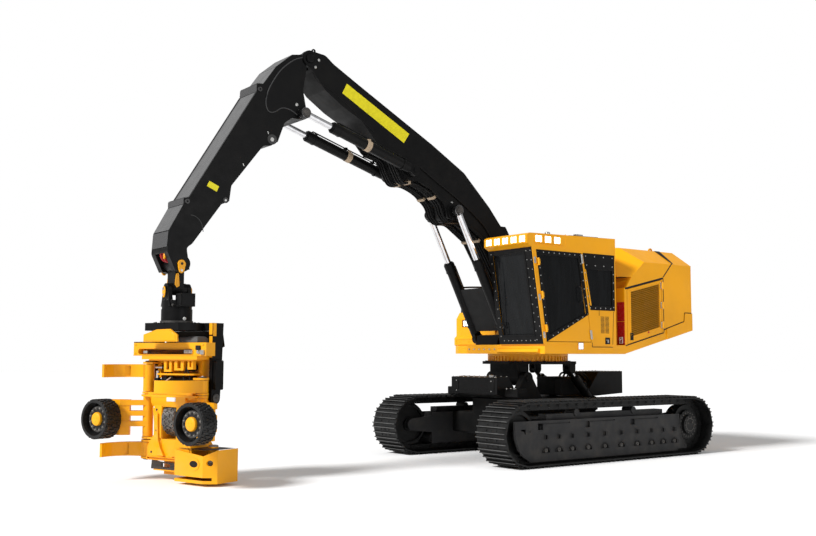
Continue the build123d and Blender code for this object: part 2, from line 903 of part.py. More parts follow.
with BuildPart() as engine_block:
    with BuildSketch(side_plane(0)):
        with BuildLine():
            Polyline(
                (-1000, house_base + running_gap), (floor_start, house_base + running_gap),
                (-1800, under_at(-1800) + floor_plate + running_gap), (-1800, 2880),
                (-1000, 2800), close=True,
            )
        make_face()
    extrude(amount=450, both=True)
write(engine_block.part, "engine_block")

# Inside of the hood, one wall thinner all round
with BuildPart() as hood_room:
    with BuildSketch(side_plane(0)):
        with BuildLine():
            Polyline(
                (hood_front - hood_recess - house_wall, 2850),
                (hood_front - hood_recess - house_wall, hood_lip + house_wall),
                (hood_front - 60, hood_lip + house_wall), (hood_front - 330, hood_top - house_wall),
                (crest_x - 100, hood_top - house_wall), (crest_x - 100, 2850), close=True,
            )
        make_face()
    extrude(amount=house_left - house_wall, both=True)
    with BuildSketch(Plane.YZ.offset(hood_front)):
        for side in (1, -1):
            with BuildLine():
                Polyline(
                    (side * (house_left - house_wall), crest_z - 25), (side * house_left, crest_z - 25),
                    (side * house_left, hood_top), (side * (house_left - crest_inset - 80), hood_top),
                    close=True,
                )
            make_face()
    extrude(amount=crest_x - hood_front - 200, mode=Mode.SUBTRACT)
    for side in (1, -1):
        split(bisect_by=facet_plane(side, house_wall), keep=Keep.BOTTOM)

with BuildPart() as hood:
    with BuildSketch(side_plane(0)):
        with BuildLine():
            Polyline(
                (hood_front, seam_at(hood_front) + running_gap), (hood_front, hood_brow), (-1154, hood_top),
                (crest_x + seam_gap, hood_top), (crest_x + seam_gap, crest_z + 12),
                (tail_front + seam_gap, seam_at(tail_front) + running_gap), close=True,
            )
        make_face()
    extrude(amount=house_left, both=True)
    with BuildSketch(Plane.YZ.offset(hood_front)):
        for side in (1, -1):
            with BuildLine():
                Polyline(
                    (side * house_left, crest_z), (side * (house_left + 20), crest_z),
                    (side * (house_left + 20), hood_top + 20),
                    (side * (house_left - crest_inset - 29), hood_top + 20),
                    close=True,
                )
            make_face()
    extrude(amount=crest_x - hood_front - 200, mode=Mode.SUBTRACT)
    for side in (1, -1):
        split(bisect_by=facet_plane(side, 0), keep=Keep.BOTTOM)
    with BuildSketch(side_plane(0)):
        with Locations((hood_front - hood_recess / 2 + 10, hood_lip - 150)):
            Rectangle(hood_recess + 20, 300)
    extrude(amount=house_left - 60, both=True, mode=Mode.SUBTRACT)
    with BuildSketch(side_plane(0)):
        with BuildLine():
            Polyline(
                (-820, 2880), (-895, 2880), (-914, 2909), (-1058, hood_lip), (-820, hood_lip), close=True
            )
        make_face()
    extrude(amount=house_left + 10, both=True, mode=Mode.SUBTRACT)
    add(hood_room.part, mode=Mode.SUBTRACT)
    for x in hood_hinge_xs:
        with BuildSketch(hood_hinge_plane(x).offset(-39)):
            Circle(knuckle_radius)
            with Locations((hinge_out / 2, 15)):
                Rectangle(hinge_out + 4, 26)
            Circle(hinge_pin, mode=Mode.SUBTRACT)
        extrude(amount=78)
write(hood.part, "hood")


def grille_door_at(share, rise):
    """Point of the service door: a share of its length from the front, a share of its height up."""
    x = grille_front - door_gap + (grille_rear - grille_front + 2 * door_gap) * share
    low = under_at(x) + 140 + door_gap
    high = seam_at(x) - 25 - door_gap
    return (x, low + (high - low) * rise)


with BuildPart() as grille_door:
    with BuildSketch(side_plane(house_left)):
        with BuildLine():
            Polyline(
                grille_door_at(0, 0), grille_door_at(1, 0), grille_door_at(1, 1), grille_door_at(0, 1),
                close=True
            )
        make_face()
        for step in range(slat_count):
            low = 0.12 + 0.82 * step / slat_count
            high = low + 0.6 * 0.82 / slat_count
            with BuildLine():
                Polyline(
                    grille_door_at(0.1, low), grille_door_at(0.93, low), grille_door_at(0.93, high),
                    grille_door_at(0.1, high), close=True,
                )
            make_face(mode=Mode.SUBTRACT)
    extrude(amount=house_wall)
    for z in hinge_zs:
        with BuildSketch(Plane.XY.offset(z - 39)):
            with Locations((grille_rear - 5, house_left + hinge_out)):
                Circle(knuckle_radius)
            with Locations((grille_rear + 15, house_left + 7)):
                Rectangle(40, 10)
            with Locations((grille_rear + 28, house_left + 4)):
                Rectangle(26, 16)
            with Locations((grille_rear - 5, house_left + hinge_out)):
                Circle(hinge_pin, mode=Mode.SUBTRACT)
        extrude(amount=78)
write(grille_door.part, "grille_door")

# Cab: shell with its openings, roof, door and panes
cab_inner = cab_left - cab_width
front_lean = (cab_front_high - cab_front_low) / (cab_roof_low - cab_floor)


def cab_front_at(z):
    return cab_front_low + front_lean * (z - cab_floor)


door_low = cab_floor + 40
door_high = cab_roof_low - 40
door_lean_front = (door_front_high - door_front_low) / (door_high - door_low)


def door_outline(inset):
    """Corners of the door, in side view, drawn in by an inset."""
    return [
        (door_front_low - inset, door_low + inset), (door_front_high - inset, door_high - inset),
        (door_rear_high + inset, door_high - inset), (door_rear_low + inset, door_low + inset),
    ]


def door_axis_plane(reach):
    """Plane square to the door's hinge line: its X points outward, its Y to the rear."""
    rise = (door_high - door_low, door_front_high - door_front_low)
    span = hypot(rise[0], rise[1])
    return Plane(
        origin=(
            door_front_low + rise[1] * reach / span,
            cab_left + hinge_out,
            door_low + rise[0] * reach / span,
        ),
        x_dir=(0, 1, 0),
        z_dir=(rise[1], 0, rise[0]),
    )


door_hinge_steps = (220, 760, 1300)
sill_front = door_low + 40
sill_rear = 2540
sill_end = -200


def sill_at(x):
    """Height of the slanting lower edge of the side windows."""
    return sill_front + (sill_rear - sill_front) * (door_front_low - x) / (door_front_low - sill_end)


def door_window(inset):
    low_x = door_front_low - 60 - inset
    rear_low_x = door_rear_low + 60 + inset
    lean = (door_rear_high - door_rear_low) / (door_high - door_low)
    rear_z = sill_at(rear_low_x + 60)
    return [
        (low_x + 20, sill_at(low_x) + inset), (door_front_high - 70 - inset, door_high - 60 - inset),
        (door_rear_high + 60 + inset, door_high - 60 - inset),
        (rear_low_x + lean * (rear_z - door_low), rear_z + inset),
    ]


def rear_window(inset):
    return [
        (door_rear_high - 70 - inset, door_high - 60 - inset),
        (cab_rear + 80 + inset, door_high - 60 - inset),
        (cab_rear + 80 + inset, sill_rear + 20 + inset), (door_rear_low - 10 - inset, sill_rear + 20 + inset),
    ]


def inner_window(inset):
    return [
        (cab_rear + 120 + inset, 2300 + inset), (1010 - inset, 2300 + inset),
        (1190 - inset, door_high - 60 - inset), (cab_rear + 120 + inset, door_high - 60 - inset),
    ]


front_window_low = cab_floor + 90
front_window_high = cab_roof_low - 60
with BuildPart() as cab_shell:
    with BuildSketch(side_plane(cab_left)):
        with BuildLine():
            Polyline(
                (cab_rear, cab_floor), (cab_front_low, cab_floor), (cab_front_high, cab_roof_low),
                (cab_rear, cab_roof_low), close=True,
            )
        make_face()
    extrude(amount=cab_width)
    with BuildSketch(side_plane(cab_left - cab_wall)):
        with BuildLine():
            Polyline(
                (cab_rear + cab_wall, cab_floor + cab_wall),
                (cab_front_at(cab_floor + cab_wall) - cab_wall, cab_floor + cab_wall),
                (cab_front_high - cab_wall, cab_roof_low), (cab_rear + cab_wall, cab_roof_low), close=True,
            )
        make_face()
    extrude(amount=cab_width - 2 * cab_wall, mode=Mode.SUBTRACT)
    with BuildSketch(Plane.YZ.offset(cab_front_high + 50)):
        with Locations((cab_left - cab_width / 2, (front_window_low + front_window_high) / 2)):
            Rectangle(cab_width - 170, front_window_high - front_window_low)
    extrude(amount=-450, mode=Mode.SUBTRACT)
    for outline, y in ((door_outline(0), cab_left), (rear_window(0), cab_left), (inner_window(0), cab_inner)):
        with BuildSketch(side_plane(y)):
            with BuildLine():
                Polyline(*outline, close=True)
            make_face()
        extrude(amount=cab_wall * 1.5, both=True, mode=Mode.SUBTRACT)
    for step in door_hinge_steps:
        for low in (step - 60, step + 40):
            with BuildSketch(door_axis_plane(low)):
                Circle(knuckle_radius)
                with Locations((-hinge_out / 2 - 2, -14)):
                    Rectangle(hinge_out + 4, 28)
            extrude(amount=20)
        with BuildSketch(door_axis_plane(step - 60)):
            Circle(hinge_pin - 0.05)
        extrude(amount=120)
write(cab_shell.part, "cab_shell")

with BuildPart() as cab_door:
    with BuildSketch(side_plane(cab_left)):
        with BuildLine():
            Polyline(*door_outline(door_gap), close=True)
        make_face()
        with BuildLine():
            Polyline(*door_window(0), close=True)
        make_face(mode=Mode.SUBTRACT)
    extrude(amount=cab_wall)
    for step in door_hinge_steps:
        with BuildSketch(door_axis_plane(step - 39)):
            Circle(knuckle_radius)
            with Locations((-hinge_out + 8, 22)):
                Rectangle(10, 44)
            with Locations((-hinge_out + 4, 31)):
                Rectangle(16, 26)
            Circle(hinge_pin, mode=Mode.SUBTRACT)
        extrude(amount=78)
write(cab_door.part, "cab_door")

with BuildPart() as door_glass:
    with BuildSketch(side_plane(cab_left - 12)):
        with BuildLine():
            Polyline(*door_window(running_gap), close=True)
        make_face()
    extrude(amount=glass_thickness)
write(door_glass.part, "door_glass")

with BuildPart() as cab_glass:
    for outline, y in (
        (rear_window(running_gap), cab_left - 12), (inner_window(running_gap), cab_inner + 24)
    ):
        with BuildSketch(side_plane(y)):
            with BuildLine():
                Polyline(*outline, close=True)
            make_face()
        extrude(amount=glass_thickness)
    pane_back = 20
    with BuildSketch(side_plane(cab_left - 85 - running_gap)):
        with BuildLine():
            Polyline(
                (cab_front_at(front_window_low) - pane_back, front_window_low + running_gap),
                (cab_front_at(front_window_high) - pane_back, front_window_high - running_gap),
                (
                    cab_front_at(front_window_high) - pane_back - glass_thickness,
                    front_window_high - running_gap,
                ),
                (
                    cab_front_at(front_window_low) - pane_back - glass_thickness,
                    front_window_low + running_gap,
                ),
                close=True,
            )
        make_face()
    extrude(amount=cab_width - 170 - 2 * running_gap)
write(cab_glass.part, "cab_glass")

lamp_xs = [1180 - 210 * step for step in range(3)]
lamp_ys = [cab_inner + 115 + 200 * step for step in range(5)]
with BuildPart() as cab_roof:
    with BuildSketch(side_plane(cab_left)):
        with BuildLine():
            Polyline(
                (cab_rear, cab_roof_low), (cab_front_high, cab_roof_low),
                (cab_visor_front, cab_roof_low + 50),
                (cab_visor_front, cab_roof_high - 30), (cab_visor_front - 60, cab_roof_high),
                (cab_rear, cab_roof_high + 40), close=True,
            )
        make_face()
    extrude(amount=cab_width)
    with BuildSketch(Plane.YZ.offset(cab_visor_front)):
        with Locations(*[(y, (cab_roof_low + cab_roof_high) / 2 + 15) for y in lamp_ys]):
            RectangleRounded(150, 110, 20)
    extrude(amount=-70, mode=Mode.SUBTRACT)
    with BuildSketch(side_plane(cab_left)):
        with Locations(*[(x, (cab_roof_low + cab_roof_high) / 2 + 25) for x in lamp_xs]):
            RectangleRounded(150, 110, 20)
    extrude(amount=50, mode=Mode.SUBTRACT)
write(cab_roof.part, "cab_roof")

with BuildPart() as lamps:
    with BuildSketch(Plane.YZ.offset(cab_visor_front - 70 + running_gap)):
        with Locations(*[(y, (cab_roof_low + cab_roof_high) / 2 + 15) for y in lamp_ys]):
            RectangleRounded(146, 106, 18)
    extrude(amount=60)
    with BuildSketch(side_plane(cab_left - 50 + running_gap)):
        with Locations(*[(x, (cab_roof_low + cab_roof_high) / 2 + 25) for x in lamp_xs]):
            RectangleRounded(146, 106, 18)
    extrude(amount=-42)
    with BuildSketch(Plane.YZ.offset(400 - 60 + running_gap)):
        with Locations((-1230, 2330), (-1030, 2330)):
            RectangleRounded(150, 110, 18)
    extrude(amount=50)
write(lamps.part, "lamps")

with BuildPart() as seat:
    with BuildSketch(Plane.XY.offset(cab_floor + cab_wall)):
        with Locations((100, cab_left - cab_width / 2)):
            RectangleRounded(360, 340, 60)
    extrude(amount=300)
    with BuildSketch(Plane.XY.offset(cab_floor + cab_wall + 300)):
        with Locations((110, cab_left - cab_width / 2)):
            RectangleRounded(470, 460, 60)
        with Locations((60, cab_left - cab_width / 2)):
            Rectangle(90, 640)
    extrude(amount=70)
    for arm_side in (1, -1):
        with BuildSketch(side_plane(cab_left - cab_width / 2 + arm_side * 290)):
            with BuildLine():
                Polyline(
                    (15, cab_floor + 360), (105, cab_floor + 360), (105, cab_floor + 620),
                    (380, cab_floor + 620),
                    (380, cab_floor + 670), (15, cab_floor + 690), close=True,
                )
            make_face()
        extrude(amount=35, both=True)
write(seat.part, "seat_base")

with BuildPart() as seat_cushions:
    with BuildSketch(Plane.XY.offset(cab_floor + cab_wall + 370 + running_gap)):
        with Locations((120, cab_left - cab_width / 2)):
            RectangleRounded(480, 480, 60)
    extrude(amount=110)
    fillet(seat_cushions.edges().group_by(Axis.Z)[-1], 30)
    with BuildSketch(side_plane(cab_left - cab_width / 2)):
        with BuildLine():
            Polyline(
                (-60, cab_floor + 535.6), (-220, cab_floor + 1260), (-110, cab_floor + 1280),
                (30, cab_floor + 535.6),
                close=True,
            )
        make_face()
    extrude(amount=230, both=True)
write(seat_cushions.part, "seat_cushions")

# Boom: corners of its side view as (x, z, corner radius)
boom_corners = [
    (-60, 2380, 0), (330, 2230, 0), (1250, 3640, 150), (1290, 3700, 60), (1740, 3990, 90), (2060, 3990, 60),
    (2130, 4230, 90), (2390, 4440, 120), (2700, 4560, 80), (2930, 4560, 60), (3060, 4780, 60),
    (3130, 4900, 60),
    (3420, 4980, 140), (3800, 5390, 160), (4150, 5560, 120), (4480, 5770, 90), (4700, 6020, 90),
    (4885, 6180, 0), (4770, 6340, 0), (4480, 6310, 120), (4330, 6200, 120), (3840, 5940, 200),
    (2390, 5190, 300), (1710, 4800, 250), (1140, 4260, 250), (880, 3960, 40), (770, 3960, 30),
    (700, 3850, 30),
]
tip_boss = 125
fork_half = 215
hub_gap = 6


def places(corners):
    """Points of a table of (x, z, corner radius)."""
    return [(x, z) for x, z, corner in corners]


def radii(corners):
    """Corner radii of such a table, with a small one where it says none."""
    return [max(corner, 4) for x, z, corner in corners]


with BuildPart() as boom:
    with BuildSketch(side_plane(0)):
        with BuildLine():
            FilletPolyline(*places(boom_corners), radius=radii(boom_corners), close=True)
        make_face()
        with Locations((boom_foot_x, boom_foot_z)):
            Circle(215)
        with Locations((boom_tip_x, boom_tip_z)):
            Circle(tip_boss)
    extrude(amount=beam_width / 2, both=True)
    with BuildSketch(side_plane(0)):
        with Locations((lift_rod_x, lift_rod_z), (stick_base_x, stick_base_z)):
            Circle(95)
    extrude(amount=cylinder_boss, both=True)
    with BuildSketch(side_plane(0)):
        with Locations((stick_base_x, stick_base_z)):
            Circle(90 * 0.45 - 0.05)
    extrude(amount=lift_cylinder_y + eye_width / 2 + 10, both=True)
    with BuildSketch(side_plane(0)):
        with BuildLine():
            FilletPolyline(*places(boom_corners), radius=radii(boom_corners), close=True)
        make_face()
        offset(amount=-40)
        with Locations((boom_tip_x, boom_tip_z)):
            Circle(420, mode=Mode.SUBTRACT)
        with Locations((boom_foot_x, boom_foot_z)):
            Circle(330, mode=Mode.SUBTRACT)
        with Locations((lift_rod_x, lift_rod_z), (stick_base_x, stick_base_z)):
            Circle(120, mode=Mode.SUBTRACT)
    extrude(amount=beam_width / 2 - boom_plate, both=True, mode=Mode.SUBTRACT)
    with BuildSketch(side_plane(0)):
        with Locations((boom_tip_x, boom_tip_z)):
            Circle(tip_boss + 35)
    extrude(amount=fork_half, both=True, mode=Mode.SUBTRACT)
    with BuildSketch(side_plane(0)):
        with Locations((boom_tip_x, boom_tip_z)):
            Circle(pivot_radius - 0.05)
    extrude(amount=beam_width / 2 + 25, both=True)
    with BuildSketch(side_plane(0)):
        with Locations((boom_foot_x, boom_foot_z)):
            Circle(pivot_radius)
    extrude(amount=beam_width, both=True, mode=Mode.SUBTRACT)
write(boom.part, "boom")

# Stick: corners of its side view as (x, z, corner radius)
stick_corners = [
    (4810, 6060, 30), (4870, 5700, 200), (4800, 5370, 60), (4850, 5250, 50), (5060, 5250, 60),
    (5180, 5160, 60),
    (5290, 4860, 40), (5400, 4790, 30), (5530, 4770, 60), (6030, 4130, 60), (6060, 3900, 30),
    (6180, 3850, 50),
    (6610, 3260, 60), (6690, 3200, 60), (6640, 2900, 0), (6850, 2880, 0), (6970, 3130, 100),
    (6950, 3420, 160),
    (6740, 3800, 60), (6740, 3890, 20), (6660, 3900, 20), (5640, 5560, 60), (5640, 5680, 30),
    (5540, 5690, 30),
    (5330, 5980, 150), (5060, 6210, 60), (4860, 6250, 20),
]
with BuildPart() as stick:
    with BuildSketch(side_plane(0)):
        with BuildLine():
            FilletPolyline(*places(stick_corners), radius=radii(stick_corners), close=True)
        make_face()
        with Locations((stick_tip_x, stick_tip_z)):
            Circle(115)
        with Locations((boom_tip_x, boom_tip_z)):
            Circle(tip_boss + 15, mode=Mode.SUBTRACT)
    extrude(amount=beam_width / 2, both=True)
    with BuildSketch(side_plane(0)):
        with Locations((boom_tip_x, boom_tip_z)):
            Circle(tip_boss - 10)
        with Locations((boom_tip_x + 130, boom_tip_z - 80)):
            Rectangle(200, 180, rotation=-25)
    extrude(amount=fork_half - hub_gap, both=True)
    with BuildSketch(side_plane(0)):
        with Locations((boom_tip_x, boom_tip_z)):
            Circle(pivot_radius)
    extrude(amount=beam_width, both=True, mode=Mode.SUBTRACT)
    with BuildSketch(side_plane(0)):
        with Locations((stick_rod_x, stick_rod_z)):
            Circle(85)
    extrude(amount=cylinder_boss, both=True)
    with BuildSketch(side_plane(0)):
        with BuildLine():
            FilletPolyline(*places(stick_corners), radius=radii(stick_corners), close=True)
        make_face()
        offset(amount=-40)
        with Locations((boom_tip_x, boom_tip_z)):
            Circle(360, mode=Mode.SUBTRACT)
        with Locations((stick_rod_x, stick_rod_z)):
            Circle(120, mode=Mode.SUBTRACT)
        with Locations((stick_tip_x, stick_tip_z)):
            Circle(420, mode=Mode.SUBTRACT)
    extrude(amount=beam_width / 2 - boom_plate, both=True, mode=Mode.SUBTRACT)
    with BuildSketch(side_plane(0)):
        with Locations((stick_tip_x, stick_tip_z)):
            Circle(260)
    extrude(amount=155, both=True, mode=Mode.SUBTRACT)
    with BuildSketch(side_plane(0)):
        with Locations((stick_tip_x, stick_tip_z)):
            Circle(50 - 0.05)
    extrude(amount=beam_width / 2 + 20, both=True)
write(stick.part, "stick")

# Link and rotator
with BuildPart() as link:
    with BuildSketch(side_plane(0)):
        with Locations((stick_tip_x, link_pin_z)):
            Circle(95)
            Circle(50, mode=Mode.SUBTRACT)
    extrude(amount=149, both=True)
    with BuildSketch(Plane.XY.offset(link_pin_z - 80)):
        with Locations(((stick_tip_x + head_x) / 2, 0)):
            Rectangle(130, 260)
    extrude(amount=-(link_pin_z - 80 - cross_pin_z))
    with BuildSketch(Plane.YZ.offset(head_x)):
        with Locations((0, cross_pin_z)):
            Circle(85)
    extrude(amount=110, both=True)
    with BuildSketch(Plane.YZ.offset(head_x)):
        with Locations((0, cross_pin_z)):
            Circle(40 - 0.05)
    extrude(amount=190, both=True)
    with BuildSketch(side_plane(0)):
        with Locations((stick_tip_x, link_pin_z)):
            Circle(50)
    extrude(amount=200, both=True, mode=Mode.SUBTRACT)
write(link.part, "link")

with BuildPart() as rotator_head:
    for x in (head_x - 145, head_x + 145):
        with BuildSketch(Plane.YZ.offset(x)):
            with BuildLine():
                Polyline((-150, 2400), (150, 2400), (80, cross_pin_z), (-80, cross_pin_z), close=True)
            make_face()
            with Locations((0, cross_pin_z)):
                Circle(80)
                Circle(40, mode=Mode.SUBTRACT)
        extrude(amount=28, both=True)
    with BuildSketch(Plane.XY.offset(rotator_high + running_gap)):
        with Locations((head_x, 0)):
            Circle(205)
    extrude(amount=110)
    with BuildSketch(Plane.XY.offset(2390)):
        with Locations((head_x, 275)):
            Rectangle(200, 190)
    extrude(amount=180)
write(rotator_head.part, "rotator_head")

with BuildPart() as hanger:
    with BuildSketch(head_plane(rotator_low)):
        Circle(rotator_radius)
    extrude(amount=rotator_high - rotator_low)
    with BuildSketch(head_plane(yoke_plate_low)):
        Circle(yoke_radius)
        with Locations((yoke_radius + 55, 0)):
            Rectangle(400, 2 * yoke_radius, mode=Mode.SUBTRACT)
        with Locations((-205, 0)):
            Rectangle(210, 2 * yoke_arm_y)
    extrude(amount=rotator_low - yoke_plate_low)
    for side in (1, -1):
        with BuildSketch(head_side(side * yoke_arm_y)):
            with BuildLine():
                Polyline(
                    (-310, rotator_low), (-100, rotator_low), (-102, 1650), (tilt_back + tilt_boss, tilt_z),
                    (tilt_back - tilt_boss, tilt_z), (-290, 1650), close=True,
                )
            make_face()
            with Locations((tilt_back, tilt_z)):
                Circle(tilt_boss)
        extrude(amount=yoke_arm_thickness / 2, both=True)
    with BuildSketch(head_side(yoke_arm_y + yoke_arm_thickness / 2)):
        with Locations((-190, 1460)):
            RectangleRounded(150, 400, 20)
    extrude(amount=-55)
    with BuildSketch(head_side(0)):
        with Locations((tilt_back, tilt_z)):
            Circle(tilt_pin - 0.05)
    extrude(amount=yoke_arm_y, both=True)
write(hanger.part, "hanger")

# Guard plate in front of the yoke, as (side, z)
guard_corners = [(-318, 1912), (-318, 2010), (-60, 2078), (190, 2083), (325, 2005), (335, 1912)]
with BuildPart() as yoke_guard:
    with BuildSketch(head_front(280)):
        with BuildLine():
            Polyline(*guard_corners, close=True)
        make_face()
    extrude(amount=25)
write(yoke_guard.part, "yoke_guard")

# Head frame: corners of its front view as (side, z)
spine_half = head_half_width
spine_outline = [
    (-spine_half, 1720), (-spine_half, 1150), (-300, 1110), (-300, 640), (-spine_half, 470),
    (-spine_half, head_bottom),
    (spine_half, head_bottom), (spine_half, 470), (300, 640), (300, 1110), (spine_half, 1150),
    (spine_half, 1720),
]
box_half = 700
box_front = 130
box_low = 1720
bay_low = 1215
bay_high = 1650
bay_back = -80
# Arms and knives turn on upright pins
arm_low = 600
arm_high = 1150
# Columns: name, side, foot of its hub, lowest, highest, how far it stands open
knives = [
    ("knife_upper_right", -1, 1225, 1420, 1600, knife_open),
    ("knife_upper_left", 1, 1225, 1225, 1390, -50),
    ("knife_lower_right", -1, 330, 330, 520, knife_open),
]
ear = 28
pin_r = 38
with BuildPart() as head_frame:
    with BuildSketch(head_front(90)):
        with BuildLine():
            Polyline(*spine_outline, close=True)
        make_face()
    extrude(amount=-430)
    with BuildSketch(head_front(90)):
        with Locations((0, wheel_z)):
            Rectangle(spine_roller_width + 40, 2 * spine_roller_radius + 60)
    extrude(amount=-430, mode=Mode.SUBTRACT)
    with BuildSketch(head_front(90)):
        with Locations((0, (bay_low + bay_high) / 2)):
            Rectangle(2 * spine_half, bay_high - bay_low)
    extrude(amount=bay_back - 90, mode=Mode.SUBTRACT)
    with BuildSketch(head_front(bay_back)):
        with Locations((0, (bay_low + bay_high) / 2)):
            Rectangle(2 * spine_half - 140, bay_high - bay_low - 60)
    extrude(amount=-190, mode=Mode.SUBTRACT)
    with BuildSketch(head_side(0)):
        with Locations((spine_roller_back, wheel_z)):
            Circle(45 - 0.05)
    extrude(amount=200, both=True)
    with BuildSketch(head_plane(box_low - 50)):
        with Locations((box_front - 235, 0)):
            Rectangle(470, 2 * yoke_arm_y - yoke_arm_thickness - 2 * pin_gap)
    extrude(amount=head_top - box_low + 50)
    with BuildSketch(head_plane(box_low)):
        with Locations((box_front - 85, 0)):
            Rectangle(170, 2 * box_half)
    extrude(amount=head_top - box_low)
    with BuildSketch(head_front(box_front)):
        with Locations((-70, 1778)):
            SlotOverall(1060, 78)
    extrude(amount=-120, mode=Mode.SUBTRACT)
    with BuildSketch(head_plane(arm_high + pin_gap)):
        with Locations((20, 0)):
            Rectangle(220, 2 * arm_pivot_side)
    extrude(amount=ear)
    for name, side, foot, low, high, opened in knives:
        for plate_low in (foot - pin_gap - ear, high + pin_gap):
            with BuildSketch(head_plane(plate_low)):
                with Locations((0, side * knife_pivot_side)):
                    Circle(85)
                with Locations((-70, side * (knife_pivot_side - 60))):
                    Rectangle(250, 130)
            extrude(amount=ear)
        with BuildSketch(head_plane(foot - pin_gap, 0, side * knife_pivot_side)):
            Circle(pin_r - 0.05)
        extrude(amount=high - foot + 2 * pin_gap)
    for side in (1, -1):
        for plate_low in (arm_low - pin_gap - ear, arm_high + pin_gap):
            with BuildSketch(head_plane(plate_low)):
                with Locations((0, side * arm_pivot_side)):
                    Circle(80)
                with Locations((-70, side * (arm_pivot_side - 90))):
                    Rectangle(250, 180)
            extrude(amount=ear)
        with BuildSketch(head_plane(arm_low - pin_gap, 0, side * arm_pivot_side)):
            Circle(pin_r - 0.05)
        extrude(amount=arm_high - arm_low + 2 * pin_gap)
    for side in (1, -1):
        with BuildSketch(head_side(side * (yoke_arm_y - yoke_arm_thickness / 2 - pin_gap))):
            with Locations((tilt_back, tilt_z)):
                Circle(tilt_boss)
        extrude(amount=side * (yoke_arm_y - yoke_arm_thickness / 2 - pin_gap - spine_half + 20))
    with BuildSketch(head_side(0)):
        with Locations((tilt_back, tilt_z)):
            Circle(tilt_pin)
    extrude(amount=yoke_arm_y, both=True, mode=Mode.SUBTRACT)
write(head_frame.part, "head_frame")

saw_half = 20
saw_pin = 40
# Saw box: corners of its plan as (forward, side)
saw_corners = [(-330, 160), (130, 160), (170, 720), (60, 880), (-330, 880)]
saw_length = 650
saw_width = 110
with BuildPart() as saw_box:
    with BuildSketch(head_plane(40)):
        with BuildLine():
            Polyline(*saw_corners, close=True)
        make_face()
    extrude(amount=440)
    with BuildSketch(head_plane(60)):
        with BuildLine():
            Polyline(*saw_corners, close=True)
        make_face()
        offset(amount=-20, kind=Kind.INTERSECTION)
    extrude(amount=460, mode=Mode.SUBTRACT)
    with BuildSketch(head_front(-440)):
        with BuildLine():
            Polyline((100, 470), (720, 400), (960, 520), (100, 520), close=True)
        make_face()
    extrude(amount=640, mode=Mode.SUBTRACT)
    with BuildSketch(head_front(80)):
        with Locations((540, 290)):
            Ellipse(88, 42, rotation=-38)
        with Locations((795, 310)):
            Circle(38)
    extrude(amount=120, mode=Mode.SUBTRACT)
    with BuildSketch(head_plane(saw_z - saw_half, 75, 425)):
        Rectangle(670, 790)
    extrude(amount=2 * saw_half, mode=Mode.SUBTRACT)
    with BuildSketch(head_plane(head_bottom, -125, 295)):
        Rectangle(432, 272)
    extrude(amount=300, mode=Mode.SUBTRACT)
    with BuildSketch(head_plane(60, saw_pivot_back, saw_pivot_side)):
        Circle(saw_pin - 0.05)
    extrude(amount=440)
    with BuildSketch(head_plane(saw_z + saw_half, saw_pivot_back, saw_pivot_side)):
        Circle(70)
    extrude(amount=380)
    with BuildSketch(head_plane(60, -250, -125)):
        Rectangle(20, 612)
    extrude(amount=head_bottom - 60)
    with BuildSketch(head_plane(saw_z + 35, -150, -125)):
        Rectangle(220, 612)
        SlotOverall(160, 60, rotation=90, mode=Mode.SUBTRACT)
    extrude(amount=15)
write(saw_box.part, "saw_box")

with BuildPart() as saw_bar:
    with BuildSketch(head_plane(saw_z - 5, saw_pivot_back, saw_pivot_side, -90)):
        with Locations((saw_length / 2, 0)):
            SlotCenterToCenter(saw_length, saw_width)
        Circle(75)
        Circle(saw_pin, mode=Mode.SUBTRACT)
    extrude(amount=10)
write(saw_bar.part, "saw_bar")

# Delimbing knives, each a sickle that opens forward round its pin
for name, side, foot, low, high, opened in knives:
    with BuildPart() as knife:
        with BuildSketch(head_plane(foot, 0, side * knife_pivot_side)):
            Circle(78)
        extrude(amount=high - foot)
        with BuildSketch(head_plane(low, 0, side * knife_pivot_side, side * opened)):
            with BuildLine():
                ThreePointArc((-20, side * 70), (knife_reach * 0.55, side * 170), (knife_reach, side * 10))
                Line((knife_reach, side * 10), (knife_reach - 25, -side * 12))
                ThreePointArc(
                    (knife_reach - 25, -side * 12), (knife_reach * 0.5, side * 105), (90, -side * 40)
                )
                Line((90, -side * 40), (-20, -side * 70))
                Line((-20, -side * 70), (-20, side * 70))
            make_face()
        extrude(amount=high - low)
        with BuildSketch(head_plane(low + 20, 0, side * knife_pivot_side, side * opened)):
            with Locations((knife_reach * 0.5, side * 92)):
                Rectangle(knife_reach * 0.45, 26, rotation=-side * 3)
        extrude(amount=high - low - 40, mode=Mode.SUBTRACT)
        with BuildSketch(head_plane(foot, 0, side * knife_pivot_side)):
            Circle(pin_r)
        extrude(amount=high - foot, mode=Mode.SUBTRACT)
    write(knife.part, name)

